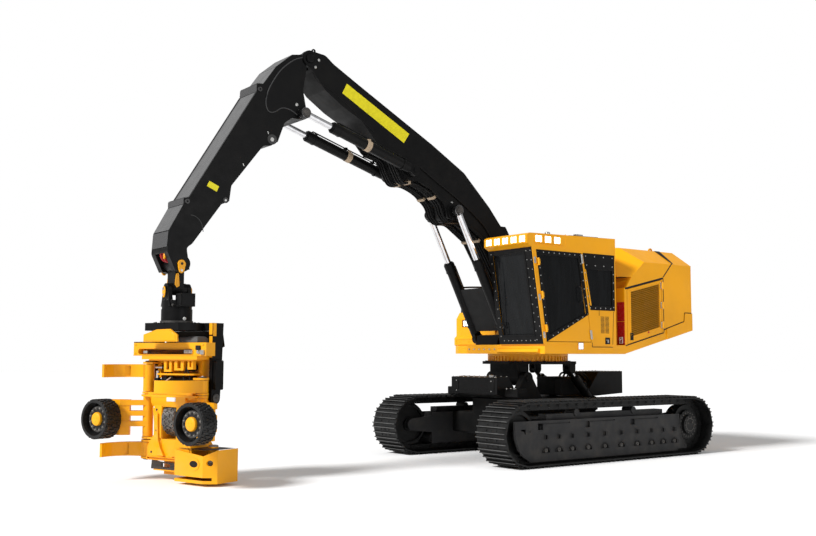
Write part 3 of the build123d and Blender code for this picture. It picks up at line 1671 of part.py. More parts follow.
hub_face = wheel_forward - wheel_width / 2
wheel_bore = 50
arm_plates = (740, 885, 1030)
for side, hand in ((1, "left"), (-1, "right")):
    with BuildPart() as arm:
        for plate_low in arm_plates:
            with BuildSketch(head_plane(plate_low)):
                with BuildLine():
                    Polyline(
                        (-55, side * 530), (45, side * 462), (240, side * 700), (hub_face - 75, side * 760),
                        (hub_face - 75, side * 1030), (hub_face - 135, side * 1030), (150, side * 870),
                        close=True,
                    )
                make_face()
            extrude(amount=70)
        with BuildSketch(head_plane(arm_low + 20)):
            with BuildLine():
                Polyline(
                    (150, side * 700), (205, side * 668), (236, side * 708), (hub_face - 82, side * 768),
                    (hub_face - 82, side * 1010), (hub_face - 122, side * 1010), (170, side * 860),
                    close=True,
                )
            make_face()
        extrude(amount=arm_high - arm_low - 60)
        with BuildSketch(head_plane(arm_low)):
            with Locations((0, side * arm_pivot_side)):
                Circle(72)
        extrude(amount=arm_high - arm_low)
        with BuildSketch(head_plane(arm_low)):
            with Locations((0, side * arm_pivot_side)):
                Circle(pin_r)
        extrude(amount=arm_high - arm_low, mode=Mode.SUBTRACT)
        with BuildSketch(head_front(hub_face - 80)):
            with Locations((side * wheel_side, wheel_z)):
                Circle(110)
        extrude(amount=80 - running_gap)
        with BuildSketch(head_front(hub_face - 80)):
            with Locations((side * wheel_side, wheel_z)):
                Circle(wheel_bore - 0.05)
        extrude(amount=80 + 90)
    write(arm.part, "feed_arm_" + hand)

    with BuildPart() as wheel:
        with BuildSketch(head_front(hub_face)):
            with Locations((side * wheel_side, wheel_z)):
                Circle(wheel_radius - 13)
                Circle(wheel_radius - 50, mode=Mode.SUBTRACT)
        extrude(amount=wheel_width)
        for row in (8, 92, 176):
            with BuildSketch(head_front(hub_face + row)):
                with Locations((side * wheel_side, wheel_z)):
                    with PolarLocations(wheel_radius - 8, 20, start_angle=row):
                        Rectangle(16, 26)
            extrude(amount=64)
        with BuildSketch(head_front(hub_face + 70)):
            with Locations((side * wheel_side, wheel_z)):
                Circle(wheel_radius - 45)
                with PolarLocations(178, 8):
                    Circle(30, mode=Mode.SUBTRACT)
        extrude(amount=24)
        with BuildSketch(head_front(hub_face)):
            with Locations((side * wheel_side, wheel_z)):
                Circle(130)
        extrude(amount=185)
        with BuildSketch(head_front(hub_face + 185)):
            with Locations((side * wheel_side, wheel_z)):
                Circle(82)
        extrude(amount=35, taper=12)
        with BuildSketch(head_front(hub_face)):
            with Locations((side * wheel_side, wheel_z)):
                Circle(wheel_bore)
        extrude(amount=100, mode=Mode.SUBTRACT)
    write(wheel.part, "feed_wheel_" + hand)

with BuildPart() as spine_roller:
    with BuildSketch(head_side(-spine_roller_width / 2)):
        with Locations((spine_roller_back, wheel_z)):
            Circle(spine_roller_radius - 14)
            Circle(45, mode=Mode.SUBTRACT)
    extrude(amount=-spine_roller_width)
    for row in (10, 85, 160):
        with BuildSketch(head_side(-spine_roller_width / 2 + row)):
            with Locations((spine_roller_back, wheel_z)):
                with PolarLocations(spine_roller_radius - 9, 16, start_angle=row):
                    Rectangle(18, 30)
        extrude(amount=-60)
write(spine_roller.part, "spine_roller")
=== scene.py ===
"""Looks of the forestry harvester: materials, small fittings, lights and camera.

Everything is in metres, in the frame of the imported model: +X forward along
the boom, +Y to the cab side, +Z up, with the origin on the ground under the
slewing axis.
"""

from math import cos, pi, radians, sin

import bmesh
import bpy
from mathutils import Matrix, Vector


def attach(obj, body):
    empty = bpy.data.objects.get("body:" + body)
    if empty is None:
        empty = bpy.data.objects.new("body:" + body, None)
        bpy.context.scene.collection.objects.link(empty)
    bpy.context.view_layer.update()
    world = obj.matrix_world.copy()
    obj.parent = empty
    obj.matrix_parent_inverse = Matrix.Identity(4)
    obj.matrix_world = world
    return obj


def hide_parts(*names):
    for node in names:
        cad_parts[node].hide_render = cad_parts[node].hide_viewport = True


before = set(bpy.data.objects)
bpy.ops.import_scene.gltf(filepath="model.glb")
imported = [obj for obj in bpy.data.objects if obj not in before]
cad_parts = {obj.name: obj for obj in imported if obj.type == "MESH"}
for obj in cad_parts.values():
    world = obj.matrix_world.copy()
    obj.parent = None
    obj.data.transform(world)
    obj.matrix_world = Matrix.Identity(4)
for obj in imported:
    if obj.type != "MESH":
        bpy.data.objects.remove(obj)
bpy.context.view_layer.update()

# Places of the main forms, as in the part's source
HEAD_X = 6.69
HEAD_YAW = radians(20)
CAB_LEFT = 1.506
HOUSE_LEFT = 1.5
SIDES = ((1, "left"), (-1, "right"))
ROLLER_XS = (1.142, 0.85, 0.548, 0.176, -0.222, -0.629, -1.031, -1.405, -1.715, -2.018)

AMBER = (0.86, 0.372, 0.003)
BLACK = (0.003, 0.003, 0.0032)
STEEL = (0.34, 0.33, 0.31)


# ---------------------------------------------------------------- materials
class Shader:
    """A material's node tree, with short names for the nodes used here."""

    def __init__(self, name):
        self.material = bpy.data.materials.new(name)
        self.material.use_nodes = True
        self.tree = self.material.node_tree
        self.surface = self.tree.nodes["Principled BSDF"]
        self.place = self.tree.nodes.new("ShaderNodeTexCoord").outputs["Object"]

    def add(self, kind, inputs=(), **settings):
        node = self.tree.nodes.new(kind)
        for key, value in settings.items():
            setattr(node, key, value)
        for key, value in dict(inputs).items():
            if isinstance(value, bpy.types.NodeSocket):
                self.tree.links.new(value, node.inputs[key])
            else:
                node.inputs[key].default_value = value
        return node

    def noise(self, scale, detail=4.0, rough=0.55, squeeze=None):
        place = self.place
        if squeeze:
            mapped = self.add("ShaderNodeMapping", {"Vector": place, "Scale": squeeze})
            place = mapped.outputs["Vector"]
        node = self.add(
            "ShaderNodeTexNoise", {"Vector": place, "Scale": scale, "Detail": detail, "Roughness": rough})
        return node.outputs["Fac"]

    def span(self, value, low, high, to_low=0.0, to_high=1.0):
        node = self.add(
            "ShaderNodeMapRange",
            {"Value": value, "From Min": low, "From Max": high, "To Min": to_low, "To Max": to_high})
        return node.outputs["Result"]

    def times(self, a, b):
        return self.add("ShaderNodeMath", {0: a, 1: b}, operation="MULTIPLY").outputs[0]

    def mixed(self, share, a, b):
        node = self.add("ShaderNodeMix", data_type="RGBA")
        for index, value in ((0, share), (6, a), (7, b)):
            if isinstance(value, bpy.types.NodeSocket):
                self.tree.links.new(value, node.inputs[index])
            else:
                node.inputs[index].default_value = value if index == 0 else (*value, 1)
        return node.outputs[2]

    def edges(self, width):
        """1 on sharp outer edges and 0 on flat faces."""
        bevel = self.add("ShaderNodeBevel", {"Radius": width}, samples=4)
        flat = self.add("ShaderNodeNewGeometry").outputs["Normal"]
        dot = self.add("ShaderNodeVectorMath", {0: bevel.outputs[0], 1: flat}, operation="DOT_PRODUCT")
        return self.span(dot.outputs["Value"], 0.97, 0.8)

    def roughness(self, value, low, high):
        self.link(self.span(value, 0.3, 0.7, low, high), "Roughness")

    def bump(self, value, strength, distance):
        node = self.add("ShaderNodeBump", {"Strength": strength, "Distance": distance, "Height": value})
        self.tree.links.new(node.outputs["Normal"], self.surface.inputs["Normal"])

    def link(self, socket, key):
        self.tree.links.new(socket, self.surface.inputs[key])

    def set(self, **values):
        for key, value in values.items():
            self.surface.inputs[key.replace("_", " ")].default_value = value


def tint(colour, factor):
    return tuple(min(1.0, part * factor) for part in colour)


def paint(name, colour, rough=0.34, coat=0.06, dust=0.03, wear=0.3, bare=(0.16, 0.15, 0.14), shine=0.28):
    """Machine paint: slow colour drift, thin dust, fine orange peel and worn edges."""
    shader = Shader(name)
    drift = shader.span(shader.noise(0.9, 5), 0.35, 0.65)
    base = shader.mixed(drift, tint(colour, 0.93), tint(colour, 1.06))
    film = shader.times(shader.span(shader.noise(3.1, 8, 0.62), 0.46, 0.72), dust)
    base = shader.mixed(film, base, (0.3, 0.26, 0.21))
    chips = shader.span(shader.noise(22, 6, 0.7), 0.5, 0.6)
    worn = shader.times(shader.times(shader.edges(0.006), chips), wear)
    base = shader.mixed(worn, base, bare)
    shader.link(base, "Base Color")
    shader.roughness(shader.noise(7, 6), rough - 0.05, rough + 0.13)
    shader.bump(shader.noise(260, 2), 0.05, 0.001)
    shader.set(Coat_Weight=coat, Coat_Roughness=0.12, Specular_IOR_Level=shine)
    return shader.material


def worn_steel(name, colour, rough=0.42, metal=0.9, mud=0.25, mud_colour=(0.016, 0.014, 0.012)):
    """Working steel: scratches along the surface, blotches and caked soil."""
    shader = Shader(name)
    scratch = shader.noise(55, 3, 0.7, squeeze=(1, 1, 6))
    blotch = shader.noise(6, 7, 0.6)
    base = shader.mixed(shader.span(blotch, 0.35, 0.65), tint(colour, 0.7), tint(colour, 1.15))
    base = shader.mixed(shader.span(scratch, 0.55, 0.7, 0, 0.5), base, tint(colour, 1.6))
    soil = shader.times(shader.span(shader.noise(9, 8, 0.65), 0.48, 0.66), mud)
    base = shader.mixed(soil, base, mud_colour)
    base = shader.mixed(shader.times(shader.edges(0.005), 0.5), base, tint(colour, 1.9))
    shader.link(base, "Base Color")
    shader.link(shader.span(soil, 0, 1, metal, 0.0), "Metallic")
    shader.roughness(blotch, rough - 0.08, rough + 0.22)
    shader.bump(shader.noise(90, 5, 0.6), 0.25, 0.002)
    return shader.material


def polished(name, colour, rough=0.08):
    shader = Shader(name)
    shader.link(shader.mixed(
        shader.span(shader.noise(12, 4), 0.4, 0.65), colour, tint(colour, 0.85)), "Base Color")
    shader.roughness(shader.noise(30, 3), rough, rough + 0.1)
    shader.set(Metallic=1.0)
    return shader.material


def dark_glass(name, colour):
    """Tinted pane that shows soft streaks and hides most of what is behind it."""
    shader = Shader(name)
    streak = shader.span(shader.noise(2.2, 5, 0.6, squeeze=(4, 4, 0.6)), 0.4, 0.7)
    shader.link(shader.mixed(streak, colour, tint(colour, 1.6)), "Base Color")
    shader.roughness(shader.noise(3, 4), 0.06, 0.16)
    shader.set(Specular_IOR_Level=0.1, Alpha=0.99)
    return shader.material


def plastic(name, colour, rough=0.55, grain=180):
    shader = Shader(name)
    base = shader.mixed(
        shader.span(shader.noise(14, 6), 0.35, 0.65), tint(colour, 0.92), tint(colour, 1.08))
    shader.link(base, "Base Color")
    shader.roughness(shader.noise(20, 4), rough - 0.08, rough + 0.1)
    shader.bump(shader.noise(grain, 3), 0.15, 0.001)
    shader.set(Specular_IOR_Level=0.3)
    return shader.material


def glowing(name, colour, strength):
    """Lamp lens that is lit: pale, with its ribs."""
    shader = Shader(name)
    rib = shader.add("ShaderNodeTexWave", {"Vector": shader.place, "Scale": 26.0}, wave_type="BANDS")
    shader.link(shader.mixed(rib.outputs["Fac"], colour, tint(colour, 0.8)), "Base Color")
    shader.link(shader.mixed(rib.outputs["Fac"], colour, tint(colour, 0.86)), "Emission Color")
    shader.set(Emission_Strength=strength, Roughness=0.15)
    return shader.material


amber = paint("amber_paint", AMBER)
amber_head = paint("head_amber_paint", AMBER, dust=0.08, wear=0.7)
black = paint(
    "black_paint", BLACK, rough=0.38, coat=0.0, dust=0.01, wear=0.25, bare=(0.05, 0.05, 0.05), shine=0.14)
black_matt = paint(
    "black_frame_paint", (0.004, 0.004, 0.004), rough=0.55, coat=0.0, dust=0.02, wear=0.15, shine=0.15)
# Darker copy of the amber paint for louvres and slat edges: painted shade between the slats.
louvre_shade_paint = paint("grille_paint_painted_shade", (0.34, 0.165, 0.004), rough=0.5, coat=0.0, dust=0.05, wear=0.1)
track_metal = worn_steel("track_steel", (0.0085, 0.0085, 0.0085), rough=0.46, metal=0.5, mud=0.12)
bare_metal = worn_steel("bare_steel", STEEL, mud=0.1)
stud_metal = worn_steel("stud_steel", (0.018, 0.018, 0.018), rough=0.42, metal=0.5, mud=0.05)
chrome = polished("chrome", (0.78, 0.78, 0.8))
zinc = polished("zinc_plate", (0.6, 0.6, 0.58), rough=0.28)
glass = dark_glass("tinted_glass", (0.006, 0.0065, 0.007))
lens = glowing("lamp_lens", (1.0, 1.0, 0.98), 2.6)
rubber = plastic("black_plastic", (0.006, 0.006, 0.006))
cloth = plastic("seat_cloth", (0.03, 0.03, 0.034), rough=0.8, grain=400)
red = plastic("red_reflector", (0.42, 0.012, 0.015), rough=0.25)
stripe = plastic("stripe_yellow", (0.8, 0.7, 0.012), rough=0.4)
band_tan = plastic("tan_band", (0.42, 0.32, 0.22), rough=0.6)
white = plastic("white_plate", (0.75, 0.75, 0.73), rough=0.4)
# Dark plates that stand in for holes, slots and bores: their near-black is painted shade inside the
# openings.
hole_shade_paint = plastic("painted_hole_shade", (0.006, 0.006, 0.006), rough=0.8)
bare_dark = worn_steel("dark_steel", (0.09, 0.085, 0.08), rough=0.45, metal=0.7, mud=0.15)
frame_paint = paint("side_frame_paint", (0.018, 0.018, 0.019), rough=0.5, coat=0.0, dust=0.08, wear=0.2)
# Grey for welds and lug rings, lighter than the black plates: partly painted highlight along the weld
# lines.
weld_highlight_grey = paint("weld_paint_painted_highlight", (0.035, 0.035, 0.036), rough=0.42, coat=0.1, dust=0.05, wear=0.3)
# Grey of the covers, lightened beyond their own grey: partly painted highlight for the tilt cylinder cover.
grey_cover_and_highlight = paint("grey_cover_painted_highlight", (0.085, 0.08, 0.078), rough=0.4, coat=0.1, dust=0.05, wear=0.3)
stud_pale = worn_steel("roller_stud_steel", (0.16, 0.15, 0.14), rough=0.4, metal=0.8, mud=0.1)
edge_metal = worn_steel("bar_edge_steel", (0.11, 0.11, 0.108), rough=0.4, metal=0.6, mud=0.08)
# Glossy grey, much lighter than the black paint: painted sheen for the stick's front plate, on a real
# glossier coat.
painted_sheen_paint = paint(
    "painted_sheen_black_paint", (0.045, 0.045, 0.046), rough=0.24, coat=0.5, dust=0.02, wear=0.2, shine=0.5)
bright = glowing("lamp_bulb", (1.0, 1.0, 1.0), 5.0)

FINISHES = (
    (track_metal, "track_left track_right idlers sprockets"),
    (frame_paint, "side_frame_left side_frame_right"), (black_matt, "car_body tow_eyes level_frame"),
    (black, "body_boxes level_barrels lift_barrels stick_barrels cylinder_guard"),
    (black, "boom stick link rotator_head hanger"), (chrome, "level_rods lift_rods stick_rods"),
    (
        amber,
        "slew_ring deck side_tank counterweight engine_house hood grille_door cab_shell cab_door cab_roof"),
    (glass, "door_glass cab_glass"), (lens, "lamps"), (rubber, "seat_base"), (cloth, "seat_cushions"),
    (amber_head, "yoke_guard head_frame saw_box knife_upper_left knife_upper_right knife_lower_right"),
    (amber_head, "feed_arm_left feed_arm_right"), (bare_metal, "engine_block saw_bar"),
    (stud_metal, "feed_wheel_left feed_wheel_right"), (stud_pale, "spine_roller"))
for finish, node_names in FINISHES:
    for node_name in node_names.split():
        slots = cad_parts[node_name].data.materials
        slots.clear()
        slots.append(finish)


# ------------------------------------------------------------- mesh pieces
def placed(name, data):
    """A new object of the scene."""
    thing = bpy.data.objects.new(name, data)
    bpy.context.collection.objects.link(thing)
    return thing


class Piece:
    """One piece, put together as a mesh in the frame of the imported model."""

    def __init__(self):
        self.mesh = bmesh.new()

    def ring(self, centre, axis, radius, sides, turn=0.0):
        """Corners of a circle round an axis."""
        axis = Vector(axis).normalized()
        first = axis.orthogonal().normalized()
        second = axis.cross(first)
        corners = []
        for step in range(sides):
            angle = turn + 2 * pi * step / sides
            corners.append(Vector(centre) + radius * (cos(angle) * first + sin(angle) * second))
        return corners

    def skin(self, rings, closed=False):
        """Faces between rings of corners, with both ends closed unless the rings close on themselves."""
        rows = [[self.mesh.verts.new(corner) for corner in ring] for ring in rings]
        pairs = list(zip(rows, rows[1:] + rows[:1])) if closed else list(zip(rows, rows[1:]))
        for low, high in pairs:
            for index in range(len(low)):
                after = (index + 1) % len(low)
                self.mesh.faces.new((low[index], low[after], high[after], high[index]))
        if not closed:
            self.mesh.faces.new(rows[0][::-1])
            self.mesh.faces.new(rows[-1])
        return self

    def turned(self, centre, axis, outline, sides=20, turn=0.0):
        """A turned form, from (distance along its axis, radius) pairs."""
        axis = Vector(axis).normalized()
        return self.skin([
            self.ring(Vector(centre) + axis * along, axis, radius, sides, turn) for along, radius in outline
        ])

    def washer(self, centre, axis, outer, inner, depth, sides=32):
        """A flat ring with a hole through it."""
        axis = Vector(axis).normalized()
        top = Vector(centre) + axis * depth
        return self.skin([
            self.ring(centre, axis, outer, sides), self.ring(top, axis, outer, sides),
            self.ring(top, axis, inner, sides), self.ring(centre, axis, inner, sides)], closed=True)

    def plate(self, corners, push):
        """A flat plate, from its corners in order and the way and depth it is pushed out."""
        low = [Vector(corner) for corner in corners]
        return self.skin([low, [corner + Vector(push) for corner in low]])

    def frame(self, outer, inner, push):
        """A flat frame between two outlines with as many corners each."""
        outer = [Vector(corner) for corner in outer]
        inner = [Vector(corner) for corner in inner]
        push = Vector(push)
        return self.skin([outer, [c + push for c in outer], [c + push for c in inner], inner], closed=True)

    def rim(self, plane, at, outer, inner, push):
        """A flat frame between two rectangles of one plane."""
        return self.frame(plane(rect(*outer), at), plane(rect(*inner), at), push)

    def block(self, centre, size, rotation=None):
        """A block by its middle and size; put() rounds its edges."""
        turn = rotation or Matrix.Identity(3)
        half = Vector(size) / 2
        corners = rect(-1, -1, 1, 1)
        rings = []
        for level in (-1, 1):
            rings.append([
                Vector(centre) + turn @ Vector((x * half.x, y * half.y, level * half.z)) for x, y in corners
            ])
        return self.skin(rings)

    def bolt(self, place, out, radius=0.012):
        """A hexagon head on its washer."""
        rise = radius * 0.75
        self.turned(place, out, ((0, radius * 1.4), (rise * 0.2, radius * 1.35)), 12)
        return self.turned(
            Vector(place) + Vector(out).normalized() * rise * 0.2, out,
            capped(radius, rise * 0.8, rise, radius * 0.8), 6)

    def bolts(self, start, end, count, out, radius=0.012):
        """A row of bolts with its first and last at the two ends."""
        for step in range(count):
            self.bolt(Vector(start).lerp(Vector(end), step / (count - 1)), out, radius)
        return self

    def tube(self, points, radius, sides=10):
        """A bent tube through points, with mitred bends."""
        points = [Vector(point) for point in points]
        rings = []
        side = (points[1] - points[0]).orthogonal().normalized()
        for index, point in enumerate(points):
            before = (point - points[max(index - 1, 0)]).normalized()
            after = (points[min(index + 1, len(points) - 1)] - point).normalized()
            way = (before + after).normalized()
            side = (side - way * side.dot(way)).normalized()
            other = way.cross(side)
            rings.append([
                point + radius * (cos(2 * pi * s / sides) * side + sin(2 * pi * s / sides) * other)
                for s in range(sides)])
        return self.skin(rings)

    def pipe(self, points, steps, radius, sides=10):
        """A tube along the smooth line through a few points."""
        return self.tube(smooth_run(points, steps), radius, sides)

    def put(self, name, body, material, bevel=0.0):
        """Makes the object, softens its edges and lets it ride on a body."""
        bmesh.ops.recalc_face_normals(self.mesh, faces=self.mesh.faces)
        data = bpy.data.meshes.new(name)
        self.mesh.to_mesh(data)
        self.mesh.free()
        data.materials.append(material)
        data.shade_smooth()
        data.set_sharp_from_angle(angle=radians(32))
        piece = placed(name, data)
        if bevel:
            edge = piece.modifiers.new("soft_edges", "BEVEL")
            edge.width = bevel
            edge.segments = 2
            edge.limit_method = "ANGLE"
        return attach(piece, body)


def side_points(pairs, y):
    """Points of a side view, given as (x, z), at one Y."""
    return [Vector((x, y, z)) for x, z in pairs]


def at_x(pairs, x):
    """Points of a front view, given as (y, z), at one X."""
    return [Vector((x, y, z)) for y, z in pairs]


def at_z(pairs, z):
    """Points of a plan, given as (y, x), at one height."""
    return [Vector((x, y, z)) for y, x in pairs]


def rect(a, b, c, d):
    """Corners of a rectangle as pairs, between the corners (a, b) and (c, d)."""
    return (a, b), (c, b), (c, d), (a, d)


def capped(radius, depth, top, top_radius):
    """Outline of a round cap with a bevelled face, for turned()."""
    return (0, radius), (depth, radius), (top, top_radius)


def disc(radius, depth):
    """Outline of a plain disc or rod, for turned()."""
    return (0, radius), (depth, radius)


def pitched(degrees):
    """A turn about the axis across the machine."""
    return Matrix.Rotation(radians(degrees), 3, "Y")


def turns(count, shift=0):
    """Angles of a full circle in equal steps, the first one shifted by a share of a step."""
    return [2 * pi * (step + shift) / count for step in range(count)]


def smooth_run(points, steps=6):
    """A smooth line through points, as a bent pipe or a weld runs."""
    points = [Vector(point) for point in points]
    ends = [2 * points[0] - points[1], *points, 2 * points[-1] - points[-2]]
    run = []
    for a, b, c, d in zip(ends, ends[1:], ends[2:], ends[3:]):
        curve = 2 * a - 5 * b + 4 * c - d
        for step in range(steps):
            t = step / steps
            run.append(0.5 * (2 * b + (c - a) * t + curve * t * t + (3 * b - a - 3 * c + d) * t ** 3))
    return run + [points[-1]]


HEAD_FRONT = Vector((cos(HEAD_YAW), sin(HEAD_YAW), 0))
HEAD_LEFT = Vector((-sin(HEAD_YAW), cos(HEAD_YAW), 0))
UP = Vector((0, 0, 1))
LEFT = Vector((0, 1, 0))
FRONT = Vector((1, 0, 0))


def head(forward, side, z):
    """A point of the head, ahead of and to the left of its rotator axis."""
    return Vector((HEAD_X, 0, z)) + HEAD_FRONT * forward + HEAD_LEFT * side


def head_front(pairs, forward):
    """Points of the head at one distance ahead of its axis, given as (side, z)."""
    return [head(forward, side, z) for side, z in pairs]


def head_top(pairs, z):
    """Points of the head at one height, given as (side, forward)."""
    return [head(forward, side, z) for side, forward in pairs]


def head_side(pairs, side):
    """Points of the head at one distance to its left, given as (forward, z)."""
    return [head(forward, side, z) for forward, z in pairs]


HEAD_TURN = Matrix.Rotation(HEAD_YAW, 3, "Z")


# ---------------------------------------------------------- undercarriage
PITCH = 0.2159
STRAIGHT_LINKS = 19
ARC_LINKS = 6
TRACK_MID = -0.4
AXLE_Z = 0.515
GAUGE_HALF = 1.4
CHAIN_FACE = 0.1025
SHOE_FACE = 0.0699
PIN_CIRCLE = PITCH / (2 * sin(pi / (2 * ARC_LINKS)))
RUN_HALF = STRAIGHT_LINKS * PITCH / 2


def track_links():
    """Middle of each link and the angle it lies at, round the loop from the bottom rear."""
    chord = PIN_CIRCLE * cos(pi / (2 * ARC_LINKS))
    for step in range(STRAIGHT_LINKS):
        yield TRACK_MID - RUN_HALF + (step + 0.5) * PITCH, AXLE_Z - PIN_CIRCLE, 0.0
    for end, first in ((1, -pi / 2), (-1, pi / 2)):
        for step in range(ARC_LINKS):
            angle = first + (step + 0.5) * pi / ARC_LINKS
            yield (
                TRACK_MID + end * RUN_HALF + chord * cos(angle), AXLE_Z + chord * sin(angle), angle + pi / 2
            )
    for step in range(STRAIGHT_LINKS):
        yield TRACK_MID + RUN_HALF - (step + 0.5) * PITCH, AXLE_Z + PIN_CIRCLE, pi


# Side view of one link plate, as (along the chain, outward)
LINK_OUTLINE = (
    (-0.1, -0.02), (-0.082, -0.046), (-0.03, -0.052), (0.02, -0.04), (0.06, -0.044), (0.1, -0.016),
    (0.102, 0.018), (0.07, 0.03), (0.058, 0.046), (-0.058, 0.046), (-0.07, 0.026), (-0.1, 0.018))
for side, name in SIDES:
    plates, shoes, holes, edges = Piece(), Piece(), Piece(), Piece()
    for x, z, angle in track_links():
        along = Vector((cos(angle), 0, sin(angle)))
        out = Vector((sin(angle), 0, -cos(angle)))
        middle = Vector((x, side * GAUGE_HALF, z))
        for face in (1, -1):
            rim = middle + LEFT * face * CHAIN_FACE
            plates.plate([rim + along * a + out * o for a, o in LINK_OUTLINE], LEFT * face * 0.009)
            plates.turned(
                rim + along * PITCH / 2, LEFT * face,
                ((0, 0.03), (0.012, 0.03), (0.016, 0.022), (0.016, 0.0145), (0.008, 0.012)), 14)
        top = middle + out * SHOE_FACE
        for step in (-0.0958, 0.0, 0.0958):
            edges.plate([
                top + out * 0.028 + along * (step + a) + LEFT * q
                for a, q in rect(-0.006, -0.333, 0.006, 0.333)], out * 0.0008)
        for step in (-0.048, 0.048):
            for across in (-0.115, 0.115):
                shoes.bolt(top + along * step + LEFT * across, out, 0.013)
        # Dark plates on the shoes: painted shade of their holes.
        for a, half, deep in ((0.048, 0.034, 0.026), (-0.048, 0.02, 0.012)):
            holes.plate([
                top + along * (a + p * deep) + LEFT * q * half
                for p, q in (
                    (-1, -0.8), (-0.8, -1), (0.8, -1), (1, -0.8), (1, 0.8), (0.8, 1), (-0.8, 1), (-1, 0.8))
            ], out * 0.002)
    edges.put("shoe_bar_edges_" + name, "undercarriage", edge_metal)
    plates.put("chain_plates_" + name, "undercarriage", track_metal)
    shoes.put("shoe_bolts_" + name, "undercarriage", track_metal)
    holes.put("shoe_hole_shades_" + name, "undercarriage", hole_shade_paint)

    # Drive hub: ring of bolts, cover bolts and filler plugs
    hub = Piece()
    hub_x = TRACK_MID - RUN_HALF
    for count, radius, y, size in ((20, 0.212, 1.5585, 0.013), (10, 0.138, 1.6035, 0.009)):
        for angle in turns(count):
            place = Vector((hub_x + radius * cos(angle), side * y, AXLE_Z + radius * sin(angle)))
            hub.bolt(place, LEFT * side, size)
    hub.washer((hub_x, side * 1.6035, AXLE_Z), LEFT * side, 0.118, 0.104, 0.005)
    for angle in (0.4, 2.5):
        plug = Vector((hub_x + 0.07 * cos(angle), side * 1.6035, AXLE_Z + 0.07 * sin(angle)))
        hub.turned(plug, LEFT * side, capped(0.018, 0.008, 0.012, 0.014), 16)
    hub.put("hub_bolts_" + name, "undercarriage", bare_dark)

    # Side frame: rims of the roller openings and windows, and the seams at its ends
    face_y = side * (GAUGE_HALF + 0.215)
    rims = Piece()
    for x in ROLLER_XS:
        arc = [
            Vector((x + 0.0935 * cos(a), face_y, 0.2153 + 0.0935 * sin(a)))
            for a in [pi * step / 12 for step in range(13)]]
        rims.tube(arc, 0.006, 6)
        rims.rim(
            side_points, face_y, (x - 0.044, 0.413, x + 0.044, 0.501), (x - 0.036, 0.421, x + 0.036, 0.493),
            LEFT * side * 0.005)
    rims.bolt((1.5, face_y, 0.555), LEFT * side, 0.012)
    rims.tube(side_points([(1.83, 0.7), (1.822, 0.48), (1.715, 0.21), (1.5, 0.093)], face_y), 0.007, 6)
    rims.tube(side_points([(-2.168, 0.7), (-2.172, 0.52), (-2.224, 0.34), (-2.33, 0.13)], face_y), 0.007, 6)
    rims.put("frame_rims_" + name, "undercarriage", frame_paint)
    rollers = Piece()
    for x in ROLLER_XS:
        rollers.turned(
            (x, side * (GAUGE_HALF + 0.185), 0.2533), LEFT * side, capped(0.036, 0.014, 0.02, 0.028), 16)
        rollers.bolt((x, side * (GAUGE_HALF + 0.205), 0.2533), LEFT * side, 0.01)
    rollers.put("roller_caps_" + name, "undercarriage", bare_dark)

# Bolts and covers on the boxes of the car body
BOX_FRONT = 1.27
BOX_REAR = -2.13
BOX_BOLT = 0.011
fittings = Piece()
for x, z in ((1.262, 1.374), (1.0175, 1.383)):
    fittings.bolts((x, -0.55, z), (x, 0.55, z), 9, UP, BOX_BOLT)
fittings.turned((1.13, 0.3, 1.374), UP, capped(0.045, 0.03, 0.038, 0.036), 20)
for start, end in ((-0.85, -0.64), (0.64, 0.85)):
    fittings.bolts((1.1, start, 1.19), (1.1, end, 1.19), 3, UP, BOX_BOLT)
for y in (-0.3, 0.3):
    fittings.bolts((-1.56, y, 1.448), (-2.08, y, 1.454), 7, UP, BOX_BOLT)
for z in (1.1, 1.24, 1.38):
    for y in (-0.28, 0.28):
        fittings.bolt((BOX_REAR, y, z), -FRONT, BOX_BOLT)
for y in (-0.45, 0.45):
    for z in (1.14, 1.31):
        fittings.bolt((BOX_FRONT, y, z), FRONT, BOX_BOLT)
fittings.put("box_bolts", "undercarriage", zinc)
manifold = Piece()
manifold.skin([
    [
        Vector((x, y, z))
        for x, y in (
            (-1.02, -half), (-0.52, -half), (-0.44, -half + 0.08), (-0.44, half - 0.08), (-0.52, half),
            (-1.02, half))]
    for z, half in ((1.04, 0.3), (1.33, 0.3), (1.36, 0.26))])
for y in (-0.2, -0.1, 0.0, 0.1, 0.2):
    manifold.pipe(side_points([
        (-0.98, 1.33), (-1.06, 1.42), (-1.22, 1.4), (-1.36, 1.28), (-1.42, 1.14)], y), 5, 0.02, 8)
manifold.put("travel_manifold", "undercarriage", black_matt, 0.006)
covers = Piece()
covers.rim(at_x, BOX_FRONT, (-0.52, 1.115, 0.52, 1.345), (-0.4, 1.155, 0.4, 1.305), FRONT * 0.008)
covers.rim(at_x, BOX_REAR, (-0.31, 1.07, 0.31, 1.43), (-0.24, 1.13, 0.24, 1.37), -FRONT * 0.008)
covers.put("box_covers", "undercarriage", black, 0.003)

# Bolt circle round the levelling plate
circle = Piece()
for angle in turns(36):
    if abs(sin(angle)) < 0.98:
        circle.bolt((0.745 * cos(angle), 0.745 * sin(angle), 1.64), UP, 0.011)
circle.put("level_plate_bolts", "leveller", bare_dark)


# --------------------------------------------------------------- cylinders
def along_line(base, rod, y, reach, lift=0.0):
    """Point beside a cylinder: a distance along it and up square to it."""
    way = Vector((rod[0] - base[0], 0, rod[1] - base[1])).normalized()
    return Vector((base[0], y, base[1])) + way * reach - way.cross(LEFT) * lift


